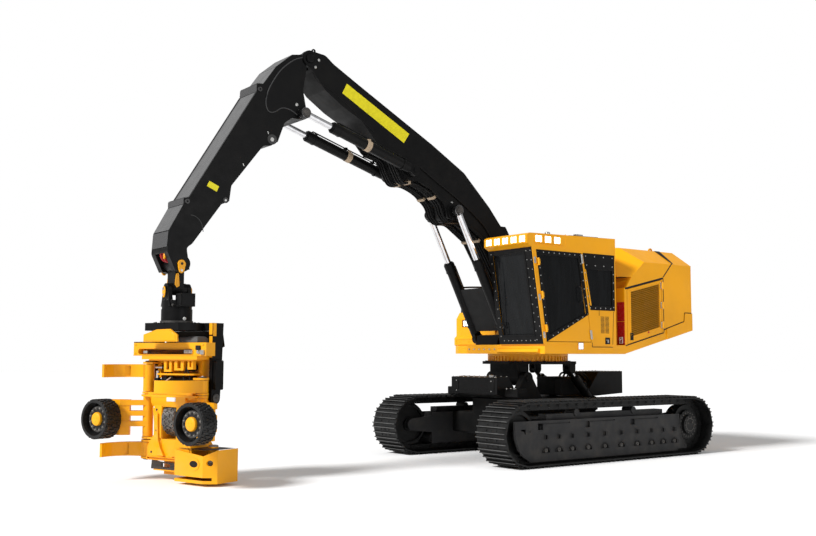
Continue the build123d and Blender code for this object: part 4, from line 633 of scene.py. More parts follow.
# Columns: name, body, base eye, rod eye, sides, barrel radius, rod radius, barrel length, bands
CYLINDERS = (
    ("level", "level_cylinders", (-1.15, 0.93), (-0.6, 1.49), 0.43, 0.075, 0.042, 0.59, ()),
    ("lift", "lift_cylinders", (0.85, 2.035), (1.93, 4.13), 0.375, 0.085, 0.052, 1.44, ()),
    ("stick", "stick_cylinders", (2.84, 4.7), (4.89, 5.33), 0.375, 0.082, 0.048, 1.64, (0.96, 0.82)))
for name, body, base, rod, side_y, radius, rod_radius, length, bands in CYLINDERS:
    way = Vector((rod[0] - base[0], 0, rod[1] - base[1])).normalized()
    glands, pipes = Piece(), Piece()
    for side in (1, -1):
        y = side * side_y
        end = along_line(base, rod, y, length)
        glands.washer(end, way, radius - 0.004, rod_radius + 0.0035, 0.018)
        glands.washer(end + way * 0.018, way, rod_radius + 0.018, rod_radius + 0.0035, 0.01)
        for angle in turns(8, 0.5):
            first = LEFT * cos(angle) + way.cross(LEFT) * sin(angle)
            glands.bolt(end + first * (radius - 0.018) + way * 0.018, way, 0.007)
        for reach in (length - 0.15, 0.16 + radius):
            glands.washer(along_line(base, rod, y, reach), way, radius + 0.012, radius + 0.001, 0.022)
        lift = -(radius + 0.03)
        run = [
            along_line(base, rod, y, 0.2, -radius * 0.8), along_line(base, rod, y, 0.2, lift),
            along_line(base, rod, y, length - 0.09, lift),
            along_line(base, rod, y, length - 0.05, -radius * 0.8)]
        pipes.tube(run, 0.013, 8)
        for reach in (0.35, length * 0.55):
            pipes.block(along_line(base, rod, y, reach, lift * 0.93), (0.05, 0.06, 0.045))
    glands.put(name + "_glands", body, black)
    pipes.put(name + "_pipes", body, black, 0.003)
    for side, reach in zip((1, -1), bands):
        band = Piece()
        start = along_line(base, rod, side * side_y, reach - 0.045)
        band.washer(start, way, radius + 0.007, radius + 0.0005, 0.09, 40)
        band.block(start + way * 0.045 + way.cross(LEFT) * (radius + 0.014), (0.06, 0.035, 0.03))
        band.put("cylinder_band_" + ("left" if side > 0 else "right"), body, band_tan, 0.002)

# Rod ends: black eyes round the pins, and caps on them
half = 0.045
for name, body, rod, side_y, eye in (
    ("level", "level_pistons", (-0.6, 1.49), 0.43, 0.062),
    ("lift", "lift_pistons", (1.93, 4.13), 0.375, 0.085),
    ("stick", "stick_pistons", (4.89, 5.33), 0.375, 0.08)
):
    pins, eyes = Piece(), Piece()
    for side in (1, -1):
        eyes.turned(
            (rod[0], side * side_y - half - 0.001, rod[1]), LEFT,
            (
                (0, eye * 0.8), (0.0005, eye - 0.003), (0.006, eye + 0.002),
                (2 * half - 0.004, eye + 0.002), (2 * half + 0.0015, eye - 0.003),
                (2 * half + 0.002, eye * 0.8)),
            32)
        face = Vector((rod[0], side * (side_y + half), rod[1]))
        pins.turned(face, LEFT * side, capped(eye * 0.6, 0.014, 0.018, eye * 0.54), 24)
        pins.washer(face, LEFT * side, eye * 0.85, eye * 0.66, 0.008)
        pins.bolt(face + LEFT * side * 0.018, LEFT * side, 0.012)
    eyes.put(name + "_rod_eyes", body, black)
    pins.put(name + "_pin_caps", body, bare_dark)


# ------------------------------------------------------------------ house
HOUSE_FRONT = -0.87
GRILLE_FRONT = -0.93
GRILLE_REAR = -1.865
TAIL_REAR = -2.7


def under_at(x):
    """Height of the house's underside, which climbs to the rear."""
    return 1.775 + 0.2345 * (HOUSE_FRONT - x)


def seam_at(x):
    """Height of the seam under the hood."""
    return 2.905 + 0.2226 * (HOUSE_FRONT - x)


def door_at(share, rise, y):
    """Point of the service door, by its shares of length and height."""
    x = GRILLE_FRONT - 0.01 + (GRILLE_REAR - GRILLE_FRONT + 0.02) * share
    low = under_at(x) + 0.15
    high = seam_at(x) - 0.035
    return Vector((x, y, low + (high - low) * rise))


# Fine louvres behind the door's slats, in a darker amber that is painted shade, and a raised frame round
# them
screen = Piece()
louvres = 52
for step in range(louvres):
    low = 0.125 + 0.805 * step / louvres
    high = low + 0.805 / louvres
    screen.plate([
        door_at(0.09, low, 1.478), door_at(0.94, low, 1.478), door_at(0.94, high, 1.462),
        door_at(0.09, high, 1.462)], LEFT * 0.003)
screen.put("door_louvres", "service_door", louvre_shade_paint)
Piece().frame(
    [door_at(a, b, HOUSE_LEFT) for a, b in rect(0.075, 0.1, 0.955, 0.955)],
    [door_at(a, b, HOUSE_LEFT) for a, b in rect(0.098, 0.12, 0.932, 0.94)], LEFT * 0.006
).put("door_trim", "service_door", amber, 0.002)
# Slat edges in the darker amber: painted shade under each slat.
slats = Piece()
for step in range(24):
    low = 0.12 + 0.82 * (step + 0.8) / 24
    middle = [door_at(0.1, low, 1.501), door_at(0.93, low, 1.501)]
    slats.tube(middle, 0.006, 6)
slats.put("door_slat_edges", "service_door", louvre_shade_paint)

latches = Piece()
latches.rim(
    side_points, HOUSE_LEFT, (-1.075, 2.01, -1.005, 2.135), (-1.062, 2.024, -1.018, 2.121), LEFT * 0.012)
latches.plate(side_points(rect(-1.062, 2.024, -1.018, 2.121), 1.5), LEFT * 0.003)
latches.block((-1.04, 1.508, 2.06), (0.03, 0.012, 0.05))
latches.put("door_latch", "service_door", rubber, 0.003)
Piece().turned(
    (-1.483, 1.5, 2.155), LEFT, capped(0.02, 0.006, 0.009, 0.014), 20
).put("door_reflector", "service_door", red)

# Hinge leaves of the service door
leaves = Piece()
for z in (2.29, 2.64, 2.99):
    leaves.block((-1.838, 1.508, z), (0.03, 0.012, 0.11))
    leaves.bolts((-1.838, 1.514, z - 0.036), (-1.838, 1.514, z + 0.036), 2, LEFT, 0.007)
leaves.put("service_hinge_leaves", "service_door", zinc, 0.003)
leaves = Piece()
for z in (2.29, 2.64, 2.99):
    leaves.block((-1.8895, 1.5045, z - 0.052), (0.016, 0.007, 0.03))
    leaves.block((-1.8895, 1.5045, z + 0.052), (0.016, 0.007, 0.03))
leaves.put("service_hinge_plates", "house", zinc, 0.002)

# Rubber seals in the seams of the house
seals = Piece()


def seal(points, y, width, side=1):
    """A strip along a seam on the side of the house."""
    for a, b in zip(points, points[1:]):
        way = Vector((b[0] - a[0], 0, b[1] - a[1])).normalized()
        over = way.cross(LEFT) * width / 2
        first, last = side_points([a, b], y)
        seals.plate([first + over, last + over, last - over, first - over], LEFT * 0.003 * side)


for side in (1, -1):
    y = side * HOUSE_LEFT
    seal([(-0.885, seam_at(-0.885) - 0.01), (-1.896, seam_at(-1.896) - 0.01)], y, 0.03, side)
    seal([(-1.907, under_at(-1.9) + 0.14), (-1.907, 3.125)], y, 0.016, side)
    seal([(-0.88, under_at(-0.88) + 0.135), (-1.9, under_at(-1.9) + 0.135)], y, 0.016, side)
    seal([(-1.907, 2.2), (-1.968, 2.224), (-2.478, 2.364), (-2.495, 2.519), (-2.699, 2.519)], y, 0.02, side)
seals.put("house_seals", "house", rubber)
seals = Piece()
for side in (1, -1):
    y = side * HOUSE_LEFT
    seal([(-1.905, seam_at(-1.9) + 0.006), (-2.168, 3.41)], y, 0.02, side)
seals.put("tail_seals", "house", rubber)
strap = Piece()
for side in (1, -1):
    crest = Vector((-2.169, side * 1.5, 3.405))
    top = Vector((-2.169, side * 1.095, 3.663))
    out = Vector((0, side * 0.258, 0.405)).normalized() * 0.004
    strap.plate([crest, top, top - FRONT * 0.15, crest - FRONT * 0.018], out)
strap.plate(at_z(rect(-1.1, -2.17, 1.1, -2.3), 3.6605), UP * 0.004)
strap.put("tail_seam_strip", "house", rubber)

# Red panel and its clip, on the front face beside the cab
panel = Piece()
panel.plate(at_x(rect(1.335, 1.93, 1.495, 2.325), HOUSE_FRONT), FRONT * 0.01)
panel.plate(at_x(rect(1.335, 2.335, 1.495, 2.665), HOUSE_FRONT), FRONT * 0.008)
panel.put("red_panel", "house", red, 0.003)
clip = Piece()
clip.rim(at_x, -0.86, (1.38, 1.95, 1.46, 2.06), (1.395, 1.965, 1.445, 2.045), FRONT * 0.012)
clip.pipe([
    (-0.852, 1.405, 1.975), (-0.838, 1.412, 2.0), (-0.838, 1.43, 2.02), (-0.852, 1.438, 2.036)], 4, 0.005)
clip.put("panel_clip", "house", white, 0.002)

# Rear of the tail: cooling outlet, reflectors, bolts, handles and lifting eyes
# Cooling outlet: frame and louvres in the darker amber, painted shade.
rear = Piece()
rear.rim(at_x, TAIL_REAR, (-0.95, 2.62, 0.95, 3.25), (-0.91, 2.66, 0.91, 3.21), -FRONT * 0.012)
for step in range(17):
    z = 2.665 + 0.0322 * step
    rear.plate([
        (-2.7, -0.91, z), (-2.7, 0.91, z), (-2.712, 0.91, z - 0.002), (-2.712, -0.91, z - 0.002)
    ], UP * 0.018)
rear.put("rear_louvres", "house", louvre_shade_paint, 0.002)
rear = Piece()
for side in (1, -1):
    for z in (2.3, 2.42):
        rear.turned((-2.722, side * 1.22, z), -FRONT, capped(0.046, 0.01, 0.016, 0.036), 24)
rear.put("rear_reflectors", "house", red)
rear = Piece()
rear.bolts((-2.722, -0.9, 2.25), (-2.722, 0.9, 2.25), 5, -FRONT, 0.02)
for side in (1, -1):
    rear.tube(side_points([
        (-2.698, 2.72), (-2.745, 2.74), (-2.745, 3.04), (-2.698, 3.06)], side * 1.2), 0.012)
rear.put("rear_handles", "house", rubber)
rear = Piece()
for side in (1, -1):
    rear.washer((-2.42, side * 0.8 - 0.012, 3.7), LEFT, 0.055, 0.026, 0.024, 28)
    rear.block((-2.42, side * 0.8, 3.668), (0.1, 0.024, 0.02))
rear.put("lifting_eyes", "house", amber, 0.002)

# Top of the hood: exhaust outlet, cover plate, and black sheets in the recess at its front as painted shade
Piece().turned(
    (-1.55, -0.62, 3.66), UP,
    ((0, 0.095), (0.012, 0.095), (0.012, 0.072), (0.16, 0.068), (0.16, 0.06), (0.02, 0.06)), 28
).put("exhaust", "hood", black)
cover = Piece()
cover.plate(at_z(rect(-0.35, -1.3, 0.75, -2.02), 3.66), UP * 0.012)
cover.bolts((-1.33, -0.31, 3.672), (-1.33, 0.71, 3.672), 5, UP, 0.009)
cover.bolts((-1.99, -0.31, 3.672), (-1.99, 0.71, 3.672), 5, UP, 0.009)
cover.put("hood_cover", "hood", amber, 0.004)
# Black sheets on the recess's back wall and under the hood's lip: painted shade.
dark = Piece()
dark.plate(at_x(rect(-1.43, 2.93, 1.43, 3.09), -1.0605), FRONT * 0.004)
dark.plate(at_z(rect(-1.435, -0.865, 1.435, -1.005), 3.1045), UP * -0.003)
dark.put("hood_recess_painted_shade", "hood", rubber)

# Right side: louvre edges, the grille's frame and latches
right = Piece()
for step in range(8):
    z = 2.2175 + 0.075 * step
    right.tube([(-1.02, -1.501, z), (-1.775, -1.501, z)], 0.006, 6)
right.rim(side_points, -1.5, (-1.0, 2.15, -1.795, 2.81), (-1.02, 2.172, -1.775, 2.788), -LEFT * 0.006)
right.put("right_grille_trim", "house", amber, 0.002)
right = Piece()
for x in (-1.16, -1.64):
    right.block((x, -1.506, 2.085), (0.07, 0.014, 0.045))
right.put("right_latches", "house", rubber, 0.003)

# Side tank: lamp surrounds, front panel, filler caps, rail and treads
tank = Piece()
for y in (-1.23, -1.03):
    tank.rim(
        at_x, 0.398, (y - 0.092, 2.262, y + 0.092, 2.398), (y - 0.07, 2.28, y + 0.07, 2.38), FRONT * 0.01)
tank.put("tank_lamp_frames", "house", black, 0.003)
tank = Piece()
tank.rim(at_x, 0.45, (-1.45, 1.935, -0.47, 2.045), (-1.43, 1.95, -0.49, 2.03), FRONT * 0.006)
tank.bolts((0.45, -1.35, 1.99), (0.45, -0.57, 1.99), 4, FRONT, 0.01)
for y in (-1.3, -0.95):
    tank.turned(
        (0.02, y, 2.553), UP, ((0, 0.075), (0.02, 0.075), (0.03, 0.06), (0.05, 0.058), (0.056, 0.05)), 24)
tank.put("tank_fittings", "house", amber, 0.002)
rail = Piece()
rail.pipe(side_points([
    (0.3, 2.53), (0.3, 2.95), (0.24, 3.02), (-0.7, 3.05), (-0.78, 2.98), (-0.78, 2.585)], -1.46), 5, 0.017)
rail.tube([(-0.24, -1.46, 2.56), (-0.24, -1.46, 3.035)], 0.015)
rail.put("tank_rail", "house", black)
treads = Piece()
for step in range(11):
    treads.plate([
        (0.26 - 0.09 * step, -0.62, 2.548), (0.26 - 0.09 * step, -0.48, 2.548),
        (0.2 - 0.09 * step, -0.48, 2.553), (0.2 - 0.09 * step, -0.62, 2.553)], UP * 0.008)
treads.put("tank_treads", "house", rubber, 0.002)

# Deck: bright sill under the cab, bolts, and rings at the boom's foot
Piece().plate(side_points([
    (1.06, 1.86), (1.105, 1.85), (1.12, 1.8), (1.1, 1.785), (1.06, 1.785)
], 0.4), LEFT * 0.985).put("cab_sill", "house", amber, 0.01)
edge = Piece()
edge.bolts((1.0605, -0.36, 1.845), (1.0605, 0.3, 1.845), 6, FRONT, 0.012)
for x in (0.35, 0.05, -0.25, -0.55):
    edge.bolt((x, -1.5, 1.845), -LEFT, 0.012)
edge.put("deck_bolts", "house", zinc)
brackets = Piece()
for side in (1, -1):
    face_y = side * (0.275 + 0.006 + 0.06)
    foot = Vector((0.15, face_y, 2.35))
    brackets.washer(foot, LEFT * side, 0.135, 0.078, 0.012, 36)
    for step in range(6):
        angle = pi * step / 3 + 0.3
        brackets.bolt(
            foot + Vector((0.106 * cos(angle), side * 0.012, 0.106 * sin(angle))), LEFT * side, 0.01)
brackets.put("boom_foot_rings", "house", black, 0.002)


# -------------------------------------------------------------------- cab
def cab_front_at(z):
    """How far forward the leaning front of the cab is at a height."""
    return 1.09 + 0.255 * (z - 1.92) / 1.56


def front_points(pairs, out=0.0):
    """Points on the cab's leaning front, given as (y, z)."""
    return [Vector((cab_front_at(z) + out, y, z)) for y, z in pairs]


# Door: black frame round the pane, as the corners of its outer and inner edges (x, z)
DOOR_OUTER = ((1.02, 1.96), (1.246, 3.44), (0.205, 3.44), (0.036, 2.424))
DOOR_INNER = ((0.955, 2.075), (1.145, 3.355), (0.282, 3.355), (0.11, 2.44))
REAR_OUTER = ((0.168, 3.45), (-0.61, 3.45), (-0.61, 2.5), (-0.01, 2.5))
REAR_INNER = ((0.12, 3.18), (-0.545, 3.18), (-0.545, 2.575), (0.02, 2.575))


Piece().frame(
    side_points(DOOR_OUTER, CAB_LEFT), side_points(DOOR_INNER, CAB_LEFT), LEFT * 0.004
).put("door_window_frame", "cab_door", black, 0.0015)
bolts = Piece()
middle = [(a[0] * 0.55 + b[0] * 0.45, a[1] * 0.55 + b[1] * 0.45) for a, b in zip(DOOR_OUTER, DOOR_INNER)]
corners = side_points(middle, CAB_LEFT + 0.004)
for start, end, count in zip(corners, corners[1:] + corners[:1], (12, 9, 8, 9)):
    bolts.bolts(start, end, count, LEFT, 0.0075)
bolts.put("door_window_bolts", "cab_door", zinc)
rear_frame = Piece()
rear_frame.frame(side_points(REAR_OUTER, CAB_LEFT), side_points(REAR_INNER, CAB_LEFT), LEFT * 0.004)
rear_frame.plate(side_points([
    (0.122, 3.19), (0.16, 3.44), (-0.6, 3.44), (-0.6, 3.19)], CAB_LEFT + 0.004), LEFT * 0.003)
rear_frame.put("rear_window_frame", "house", black, 0.0015)
bolts = Piece()
for z, start in ((3.4, 0.105), (3.25, 0.08)):
    bolts.bolts((start, CAB_LEFT + 0.007, z), (-0.55, CAB_LEFT + 0.007, z), 4, LEFT, 0.008)
for ends in (((-0.58, 3.12), (-0.58, 2.56)), ((-0.5, 2.537), (0.0, 2.537)), ((0.03, 2.6), (0.115, 3.12))):
    bolts.bolts(*side_points(ends, CAB_LEFT + 0.004), 5, LEFT, 0.0075)
bolts.put("rear_window_bolts", "house", zinc)

# Front: black surround with its bolt rows, amber post, wiper and the cover of its motor
front = Piece()
front.rim(front_points, 0, (0.472, 1.925, 1.506, 3.475), (0.57, 2.06, 1.33, 3.41), FRONT * 0.005)
front.rim(front_points, 0.005, (0.56, 2.05, 1.345, 3.418), (0.585, 2.08, 1.31, 3.39), FRONT * 0.008)
front.put("front_window_frame", "house", black, 0.002)
bolts = Piece()
for start, end, count in (
    ((1.375, 1.995), (1.375, 3.42), 11), ((1.47, 2.06), (1.47, 3.42), 10), ((0.6, 1.985), (1.33, 1.985), 8),
    ((0.535, 2.06), (0.535, 3.42), 10)
):
    bolts.bolts(*front_points([start, end], 0.005), count, FRONT, 0.0075)
bolts.put("front_window_bolts", "house", zinc)
post_x = cab_front_at(1.93)
Piece().plate(
    at_z(rect(1.494, post_x + 0.001, 1.512, post_x - 0.03), 1.93),
    Vector((cab_front_at(3.475) - post_x, 0, 1.545))).put("front_post", "house", amber, 0.003)
corner = Piece()
corner.rim(front_points, 0.006, (0.56, 2.06, 0.7, 2.28), (0.575, 2.075, 0.685, 2.265), FRONT * 0.009)
corner.pipe(front_points([(0.6, 2.1), (0.62, 2.16), (0.6, 2.22), (0.66, 2.25)], 0.012), 5, 0.006)
corner.put("wiper_motor_cover", "house", black, 0.002)
wiper = Piece()
wiper.tube(front_points([(0.63, 2.2), (0.7, 2.95)], 0.022), 0.007)
wiper.tube(front_points([(0.69, 2.55), (0.706, 3.28)], 0.03), 0.005)
wiper.turned(front_points([(0.63, 2.2)], 0.008)[0], FRONT, capped(0.022, 0.016, 0.022, 0.014), 20)
wiper.put("wiper", "house", rubber)

# Hinges of the door and the strap hinges on the rear panel, in bare zinc
hinges = Piece()
for z in (2.071, 2.674, 3.265):
    x = cab_front_at(z) - 0.045
    hinges.block((x + 0.012, 1.5115, z), (0.046, 0.011, 0.1), pitched(8.6))
    hinges.bolts((x + 0.012, 1.517, z - 0.034), (x + 0.02, 1.517, z + 0.034), 2, LEFT, 0.006)
hinges.put("door_hinge_plates", "house", zinc, 0.003)
hinges = Piece()
for x, z in ((0.1835, 3.345), (-0.02, 2.087)):
    hinges.block((x, 1.512, z), (0.03, 0.012, 0.15), pitched(8.6))
    hinges.turned((x + 0.016, 1.522, z - 0.075), (0.15, 0, 0.989), disc(0.01, 0.15), 12)
    hinges.bolts((x - 0.006, 1.518, z - 0.05), (x, 1.518, z + 0.05), 3, LEFT, 0.006)
hinges.put("panel_hinges", "house", zinc, 0.003)

# Panel behind the door: seams, vent, latch, and the lamp and handle of the door
seals = Piece()
seal([(-0.04, 1.96), (-0.04, 1.885), (-0.545, 1.885)], CAB_LEFT, 0.009)
seal([(-0.545, 1.93), (-0.575, 2.49)], CAB_LEFT, 0.007)
seal([(-0.217, 2.495), (-0.217, 2.41)], CAB_LEFT, 0.006)
seals.put("panel_seams", "house", rubber)
# Vent slots as dark plates: painted shade inside the slots.
vent = Piece()
for column in (-0.3, -0.412):
    for step in range(14):
        z = 2.12 + 0.0205 * step
        vent.plate(side_points(rect(column - 0.045, z, column + 0.045, z + 0.009), CAB_LEFT), LEFT * 0.002)
vent.put("panel_vent_slot_shades", "house", hole_shade_paint)
latch = Piece()
latch.rim(side_points, CAB_LEFT, (-0.36, 1.935, -0.47, 2.045), (-0.375, 1.95, -0.455, 2.03), LEFT * 0.01)
latch.plate(side_points(rect(-0.375, 1.95, -0.455, 2.03), CAB_LEFT), LEFT * 0.003)
latch.put("panel_latch", "house", rubber, 0.002)
paddle = Piece()
paddle.block((-0.425, CAB_LEFT + 0.007, 1.985), (0.026, 0.008, 0.055))
paddle.turned((-0.395, CAB_LEFT + 0.003, 2.005), LEFT, capped(0.01, 0.006, 0.008, 0.006), 16)
paddle.put("panel_latch_paddle", "house", zinc, 0.002)
lamp_ring, lamp_face = Piece(), Piece()
lamp_ring.rim(side_points, CAB_LEFT, (0.185, 1.84, 0.303, 1.955), (0.198, 1.853, 0.29, 1.942), LEFT * 0.016)
lamp_face.plate(side_points(rect(0.198, 1.853, 0.29, 1.942), CAB_LEFT), LEFT * 0.012)
lamp_ring.put("step_lamp_ring", "house", chrome, 0.003)
lamp_face.put("step_lamp_lens", "house", lens, 0.004)
Piece().tube([
    (0.235, 1.506, 2.62), (0.235, 1.555, 2.64), (0.262, 1.555, 2.86), (0.262, 1.506, 2.88)
], 0.011).put("door_handle", "cab_door", rubber)

# Lamps of the roof: reflectors, rims and their amber surround
LAMP_YS = (0.591, 0.791, 0.991, 1.191, 1.391)
LAMP_XS = (1.18, 0.97, 0.76)
surround, rims, bulbs = Piece(), Piece(), Piece()
for y in LAMP_YS:
    place = Vector((1.44, y, 3.605))
    surround.frame(
        [place + Vector((0, a, b)) for a, b in rect(-0.098, -0.068, 0.098, 0.068)],
        [place + Vector((0, a, b)) for a, b in rect(-0.072, -0.052, 0.072, 0.052)], FRONT * 0.01)
    rims.washer(place - FRONT * 0.012, FRONT, 0.052, 0.044, 0.014, 32)
    bulbs.turned(
        place - FRONT * 0.011, FRONT, ((0, 0.044), (0.006, 0.042), (0.012, 0.03), (0.015, 0.012)), 28)
for x in LAMP_XS:
    place = Vector((x, CAB_LEFT, 3.615))
    surround.frame(
        [place + Vector((a, 0, b)) for a, b in rect(-0.1, -0.07, 0.1, 0.07)],
        [place + Vector((a, 0, b)) for a, b in rect(-0.072, -0.052, 0.072, 0.052)], LEFT * 0.006)
    rims.washer(place - LEFT * 0.01, LEFT, 0.052, 0.044, 0.012, 32)
    bulbs.turned(place - LEFT * 0.009, LEFT, ((0, 0.044), (0.006, 0.042), (0.01, 0.03), (0.012, 0.012)), 28)
for y in (-1.23, -1.03):
    place = Vector((0.39, y, 2.33))
    rims.washer(place, FRONT, 0.05, 0.042, 0.01, 32)
    bulbs.turned(place, FRONT, ((0, 0.042), (0.006, 0.04), (0.01, 0.026)), 28)
surround.put("lamp_surrounds", "house", amber, 0.003)
rims.put("lamp_rims", "house", chrome)
bulbs.put("lamp_bulbs", "house", bright)

# Roof: bead along its lower edge, side plate, hatch, beacon and seam
roof = Piece()
roof.plate(side_points([
    (1.262, 3.52), (0.655, 3.52), (0.64, 3.532), (1.28, 3.532)], CAB_LEFT), LEFT * 0.012)
roof.plate(side_points(rect(0.56, 3.5, 0.575, 3.728), CAB_LEFT), LEFT * 0.004)
roof.put("roof_trim", "house", amber, 0.002)
Piece().frame(
    [(-0.35, 0.62, 3.738), (0.35, 0.62, 3.722), (0.35, 1.38, 3.722), (-0.35, 1.38, 3.738)],
    [(-0.3, 0.67, 3.738), (0.3, 0.67, 3.722), (0.3, 1.33, 3.722), (-0.3, 1.33, 3.738)], UP * 0.022
).put("roof_hatch_frame", "house", black, 0.004)
Piece().plate([
    (-0.29, 0.68, 3.737), (0.29, 0.68, 3.722), (0.29, 1.32, 3.722), (-0.29, 1.32, 3.737)
], UP * 0.014).put("roof_hatch_pane", "house", glass, 0.004)
items = Piece()
items.turned(
    (0.78, 1.3, 3.712), UP, ((0, 0.055), (0.016, 0.055), (0.02, 0.046), (0.048, 0.044), (0.06, 0.03)), 24)
items.block((0.2, 1.44, 3.745), (0.16, 0.07, 0.028))
items.turned((-0.45, 0.6, 3.733), UP, ((0, 0.022), (0.03, 0.02), (0.05, 0.009)), 16)
items.put("roof_items", "house", zinc, 0.003)
Piece().plate(at_z([
    (0.49, 0.576), (0.49, 0.568), (1.505, 0.568), (1.505, 0.576)
], 3.7175), UP * 0.003).put("roof_seam", "house", rubber)

# Cover over the foot of the lift cylinders
Piece().plate(side_points([
    (0.577, 1.921), (0.984, 1.921), (0.944, 2.088), (0.788, 2.099), (0.577, 2.059)
], -0.2735), LEFT * 0.547).put("lift_foot_cover", "house", black, 0.002)
foot = Piece()
for x, z in ((0.64, 1.98), (0.9, 1.96), (0.92, 2.05), (0.7, 2.03)):
    foot.bolt((x, 0.2735, z), LEFT, 0.013)
foot.put("lift_foot_bolts", "house", zinc)

# ------------------------------------------------------- boom and its pipes
BOOM_SIDE = 0.275
TIP_X = 4.76
TIP_Z = 6.21
Piece().plate(side_points([
    (4.084, 5.936), (2.87, 5.31), (2.977, 5.146), (4.169, 5.774)
], BOOM_SIDE), LEFT * 0.0015).put("boom_stripe", "boom", stripe)
caps, pale = Piece(), Piece()
for side in (1, -1):
    y, out = side * BOOM_SIDE, LEFT * side
    tip = Vector((TIP_X, side * 0.3, TIP_Z))
    caps.turned(tip, out, capped(0.064, 0.01, 0.015, 0.056), 32)
    caps.washer((TIP_X, y, TIP_Z), out, 0.118, 0.082, 0.012, 36)
    for x, z in ((4.601, 6.214), (4.66, 6.094)):
        pale.turned((x, y, z), out, capped(0.022, 0.01, 0.016, 0.016), 20)
    for x, z in ((1.93, 4.13), (2.84, 4.7)):
        caps.washer((x, y, z), out, 0.15, 0.096, 0.01, 40)
    for x, z in ((1.975, 4.27), (2.803, 4.8), (2.89, 4.805)):
        pale.bolt((x, y, z), out, 0.016)
    caps.pipe(side_points([
        (4.7, 6.005), (4.606, 5.88), (4.394, 5.788), (4.243, 5.702), (4.003, 5.556), (3.85, 5.43),
        (3.56, 5.24)], y), 4, 0.006, 6)
    caps.pipe(side_points([
        (1.16, 3.6), (1.31, 3.79), (1.56, 3.92), (1.72, 4.06), (2.1, 4.33), (2.4, 4.5), (2.7, 4.62)
    ], y), 4, 0.005, 6)
caps.put("boom_rings", "boom", black)
pale.put("boom_pale_bolts", "boom", zinc)
lug = Piece()
for y in (-0.235, 0.235):
    lug.washer((4.672, y - 0.011, 6.35), LEFT, 0.034, 0.015, 0.022, 24)
    lug.plate(side_points([
        (4.632, 6.3), (4.712, 6.315), (4.698, 6.338), (4.646, 6.332)], y - 0.011), LEFT * 0.022)
lug.put("boom_tip_lugs", "boom", black, 0.002)

# Steel pipes clipped under the boom and along its side
BOOM_PIPE_RUN = (
    (0.84, 2.95), (1.055, 3.285), (1.31, 3.665), (1.54, 3.835), (1.76, 3.955), (1.98, 3.958), (2.11, 4.06),
    (2.19, 4.235), (2.42, 4.42), (2.7, 4.522), (2.94, 4.524), (3.07, 4.7), (3.18, 4.88), (3.44, 4.952))
pipes = Piece()
for y in (-0.2, -0.14, -0.08, 0.08, 0.14, 0.2):
    pipes.pipe(side_points(BOOM_PIPE_RUN, y), 5, 0.017, 8)
pipes.put("boom_pipes", "boom", black)
clips = Piece()
for x, z, lean in ((1.33, 3.69, 40), (2.3, 4.34, 42), (2.82, 4.53, 3)):
    for y in (-0.14, 0.14):
        clips.block((x, y, z), (0.05, 0.17, 0.052), pitched(-lean))
clips.put("boom_pipe_clips", "boom", band_tan, 0.004)
Piece().pipe(side_points([
    (0.8, 3.1), (1.15, 3.78), (1.5, 4.1), (1.9, 4.36), (2.3, 4.58), (2.68, 4.8)
], 0.289), 5, 0.012, 8).put("boom_side_pipe", "boom", black)

# ------------------------------------------------------------------- stick
STICK_WELD = (
    (4.895, 6.2), (5.046, 6.13), (5.244, 5.96), (5.379, 5.766), (5.474, 5.574), (5.5, 5.394), (5.449, 5.29),
    (5.352, 5.3), (5.235, 5.375), (5.095, 5.37), (4.955, 5.304))
doubler, welds, pale, dark = Piece(), Piece(), Piece(), Piece()
for side in (1, -1):
    y, out = side * BOOM_SIDE, LEFT * side
    outline = smooth_run(side_points(STICK_WELD, y), 4)
    doubler.plate(outline + side_points([(4.89, 5.5), (4.925, 5.76), (4.905, 5.98)], y), out * 0.012)
    # Weld bead in the lighter grey: painted highlight along the doubler's edge.
    welds.tube([point + out * 0.006 for point in outline], 0.009, 8)
    welds.pipe(side_points([(6.64, 3.66), (6.56, 3.64), (6.48, 3.56), (6.45, 3.44)], y), 5, 0.006, 6)
    # Washers round the lug bores, with dark discs in them as painted shade of the holes.
    for x, z in ((5.602, 5.598), (6.7, 3.842)):
        welds.washer((x, y, z), out, 0.034, 0.014, 0.018, 24)
        dark.turned((x, y + side * 0.001, z), out, disc(0.014, 0.004), 16)
    for x, z, radius in ((5.39, 4.88, 0.075), (6.119, 3.911, 0.04)):
        welds.washer((x, y, z), out, radius, radius * 0.45, 0.016, 28)
        pale.turned((x, y + side * 0.002, z), out, ((0, radius * 0.43), (0.01, radius * 0.4)), 20)
    pale.turned((4.988, y + side * 0.012, 5.461), out, capped(0.026, 0.012, 0.018, 0.018), 24)
    pale.turned((4.944, y + side * 0.012, 5.385), out, ((0, 0.012), (0.01, 0.01)), 16)
    for x, z in ((5.457, 4.973), (5.848, 4.45)):
        pale.block((x, y + side * 0.004, z), (0.014, 0.008, 0.04), pitched(25))
doubler.put("stick_doublers", "stick", black, 0.002)
welds.put("stick_welds", "stick", weld_highlight_grey)
pale.put("stick_pale_pins", "stick", zinc)
dark.put("stick_lug_hole_shades", "stick", hole_shade_paint)
Piece().plate(side_points([
    (6.372, 4.163), (6.222, 4.1), (6.256, 4.02), (6.408, 4.086)
], BOOM_SIDE), LEFT * 0.0015).put("stick_plate", "stick", stripe)

# Front plate of the stick: long edge welds in the lighter weld grey, a painted highlight, and glossy sheets
# lighter than the black plate, as painted sheen
STICK_FRONT = ((5.64, 5.56), (6.66, 3.9))
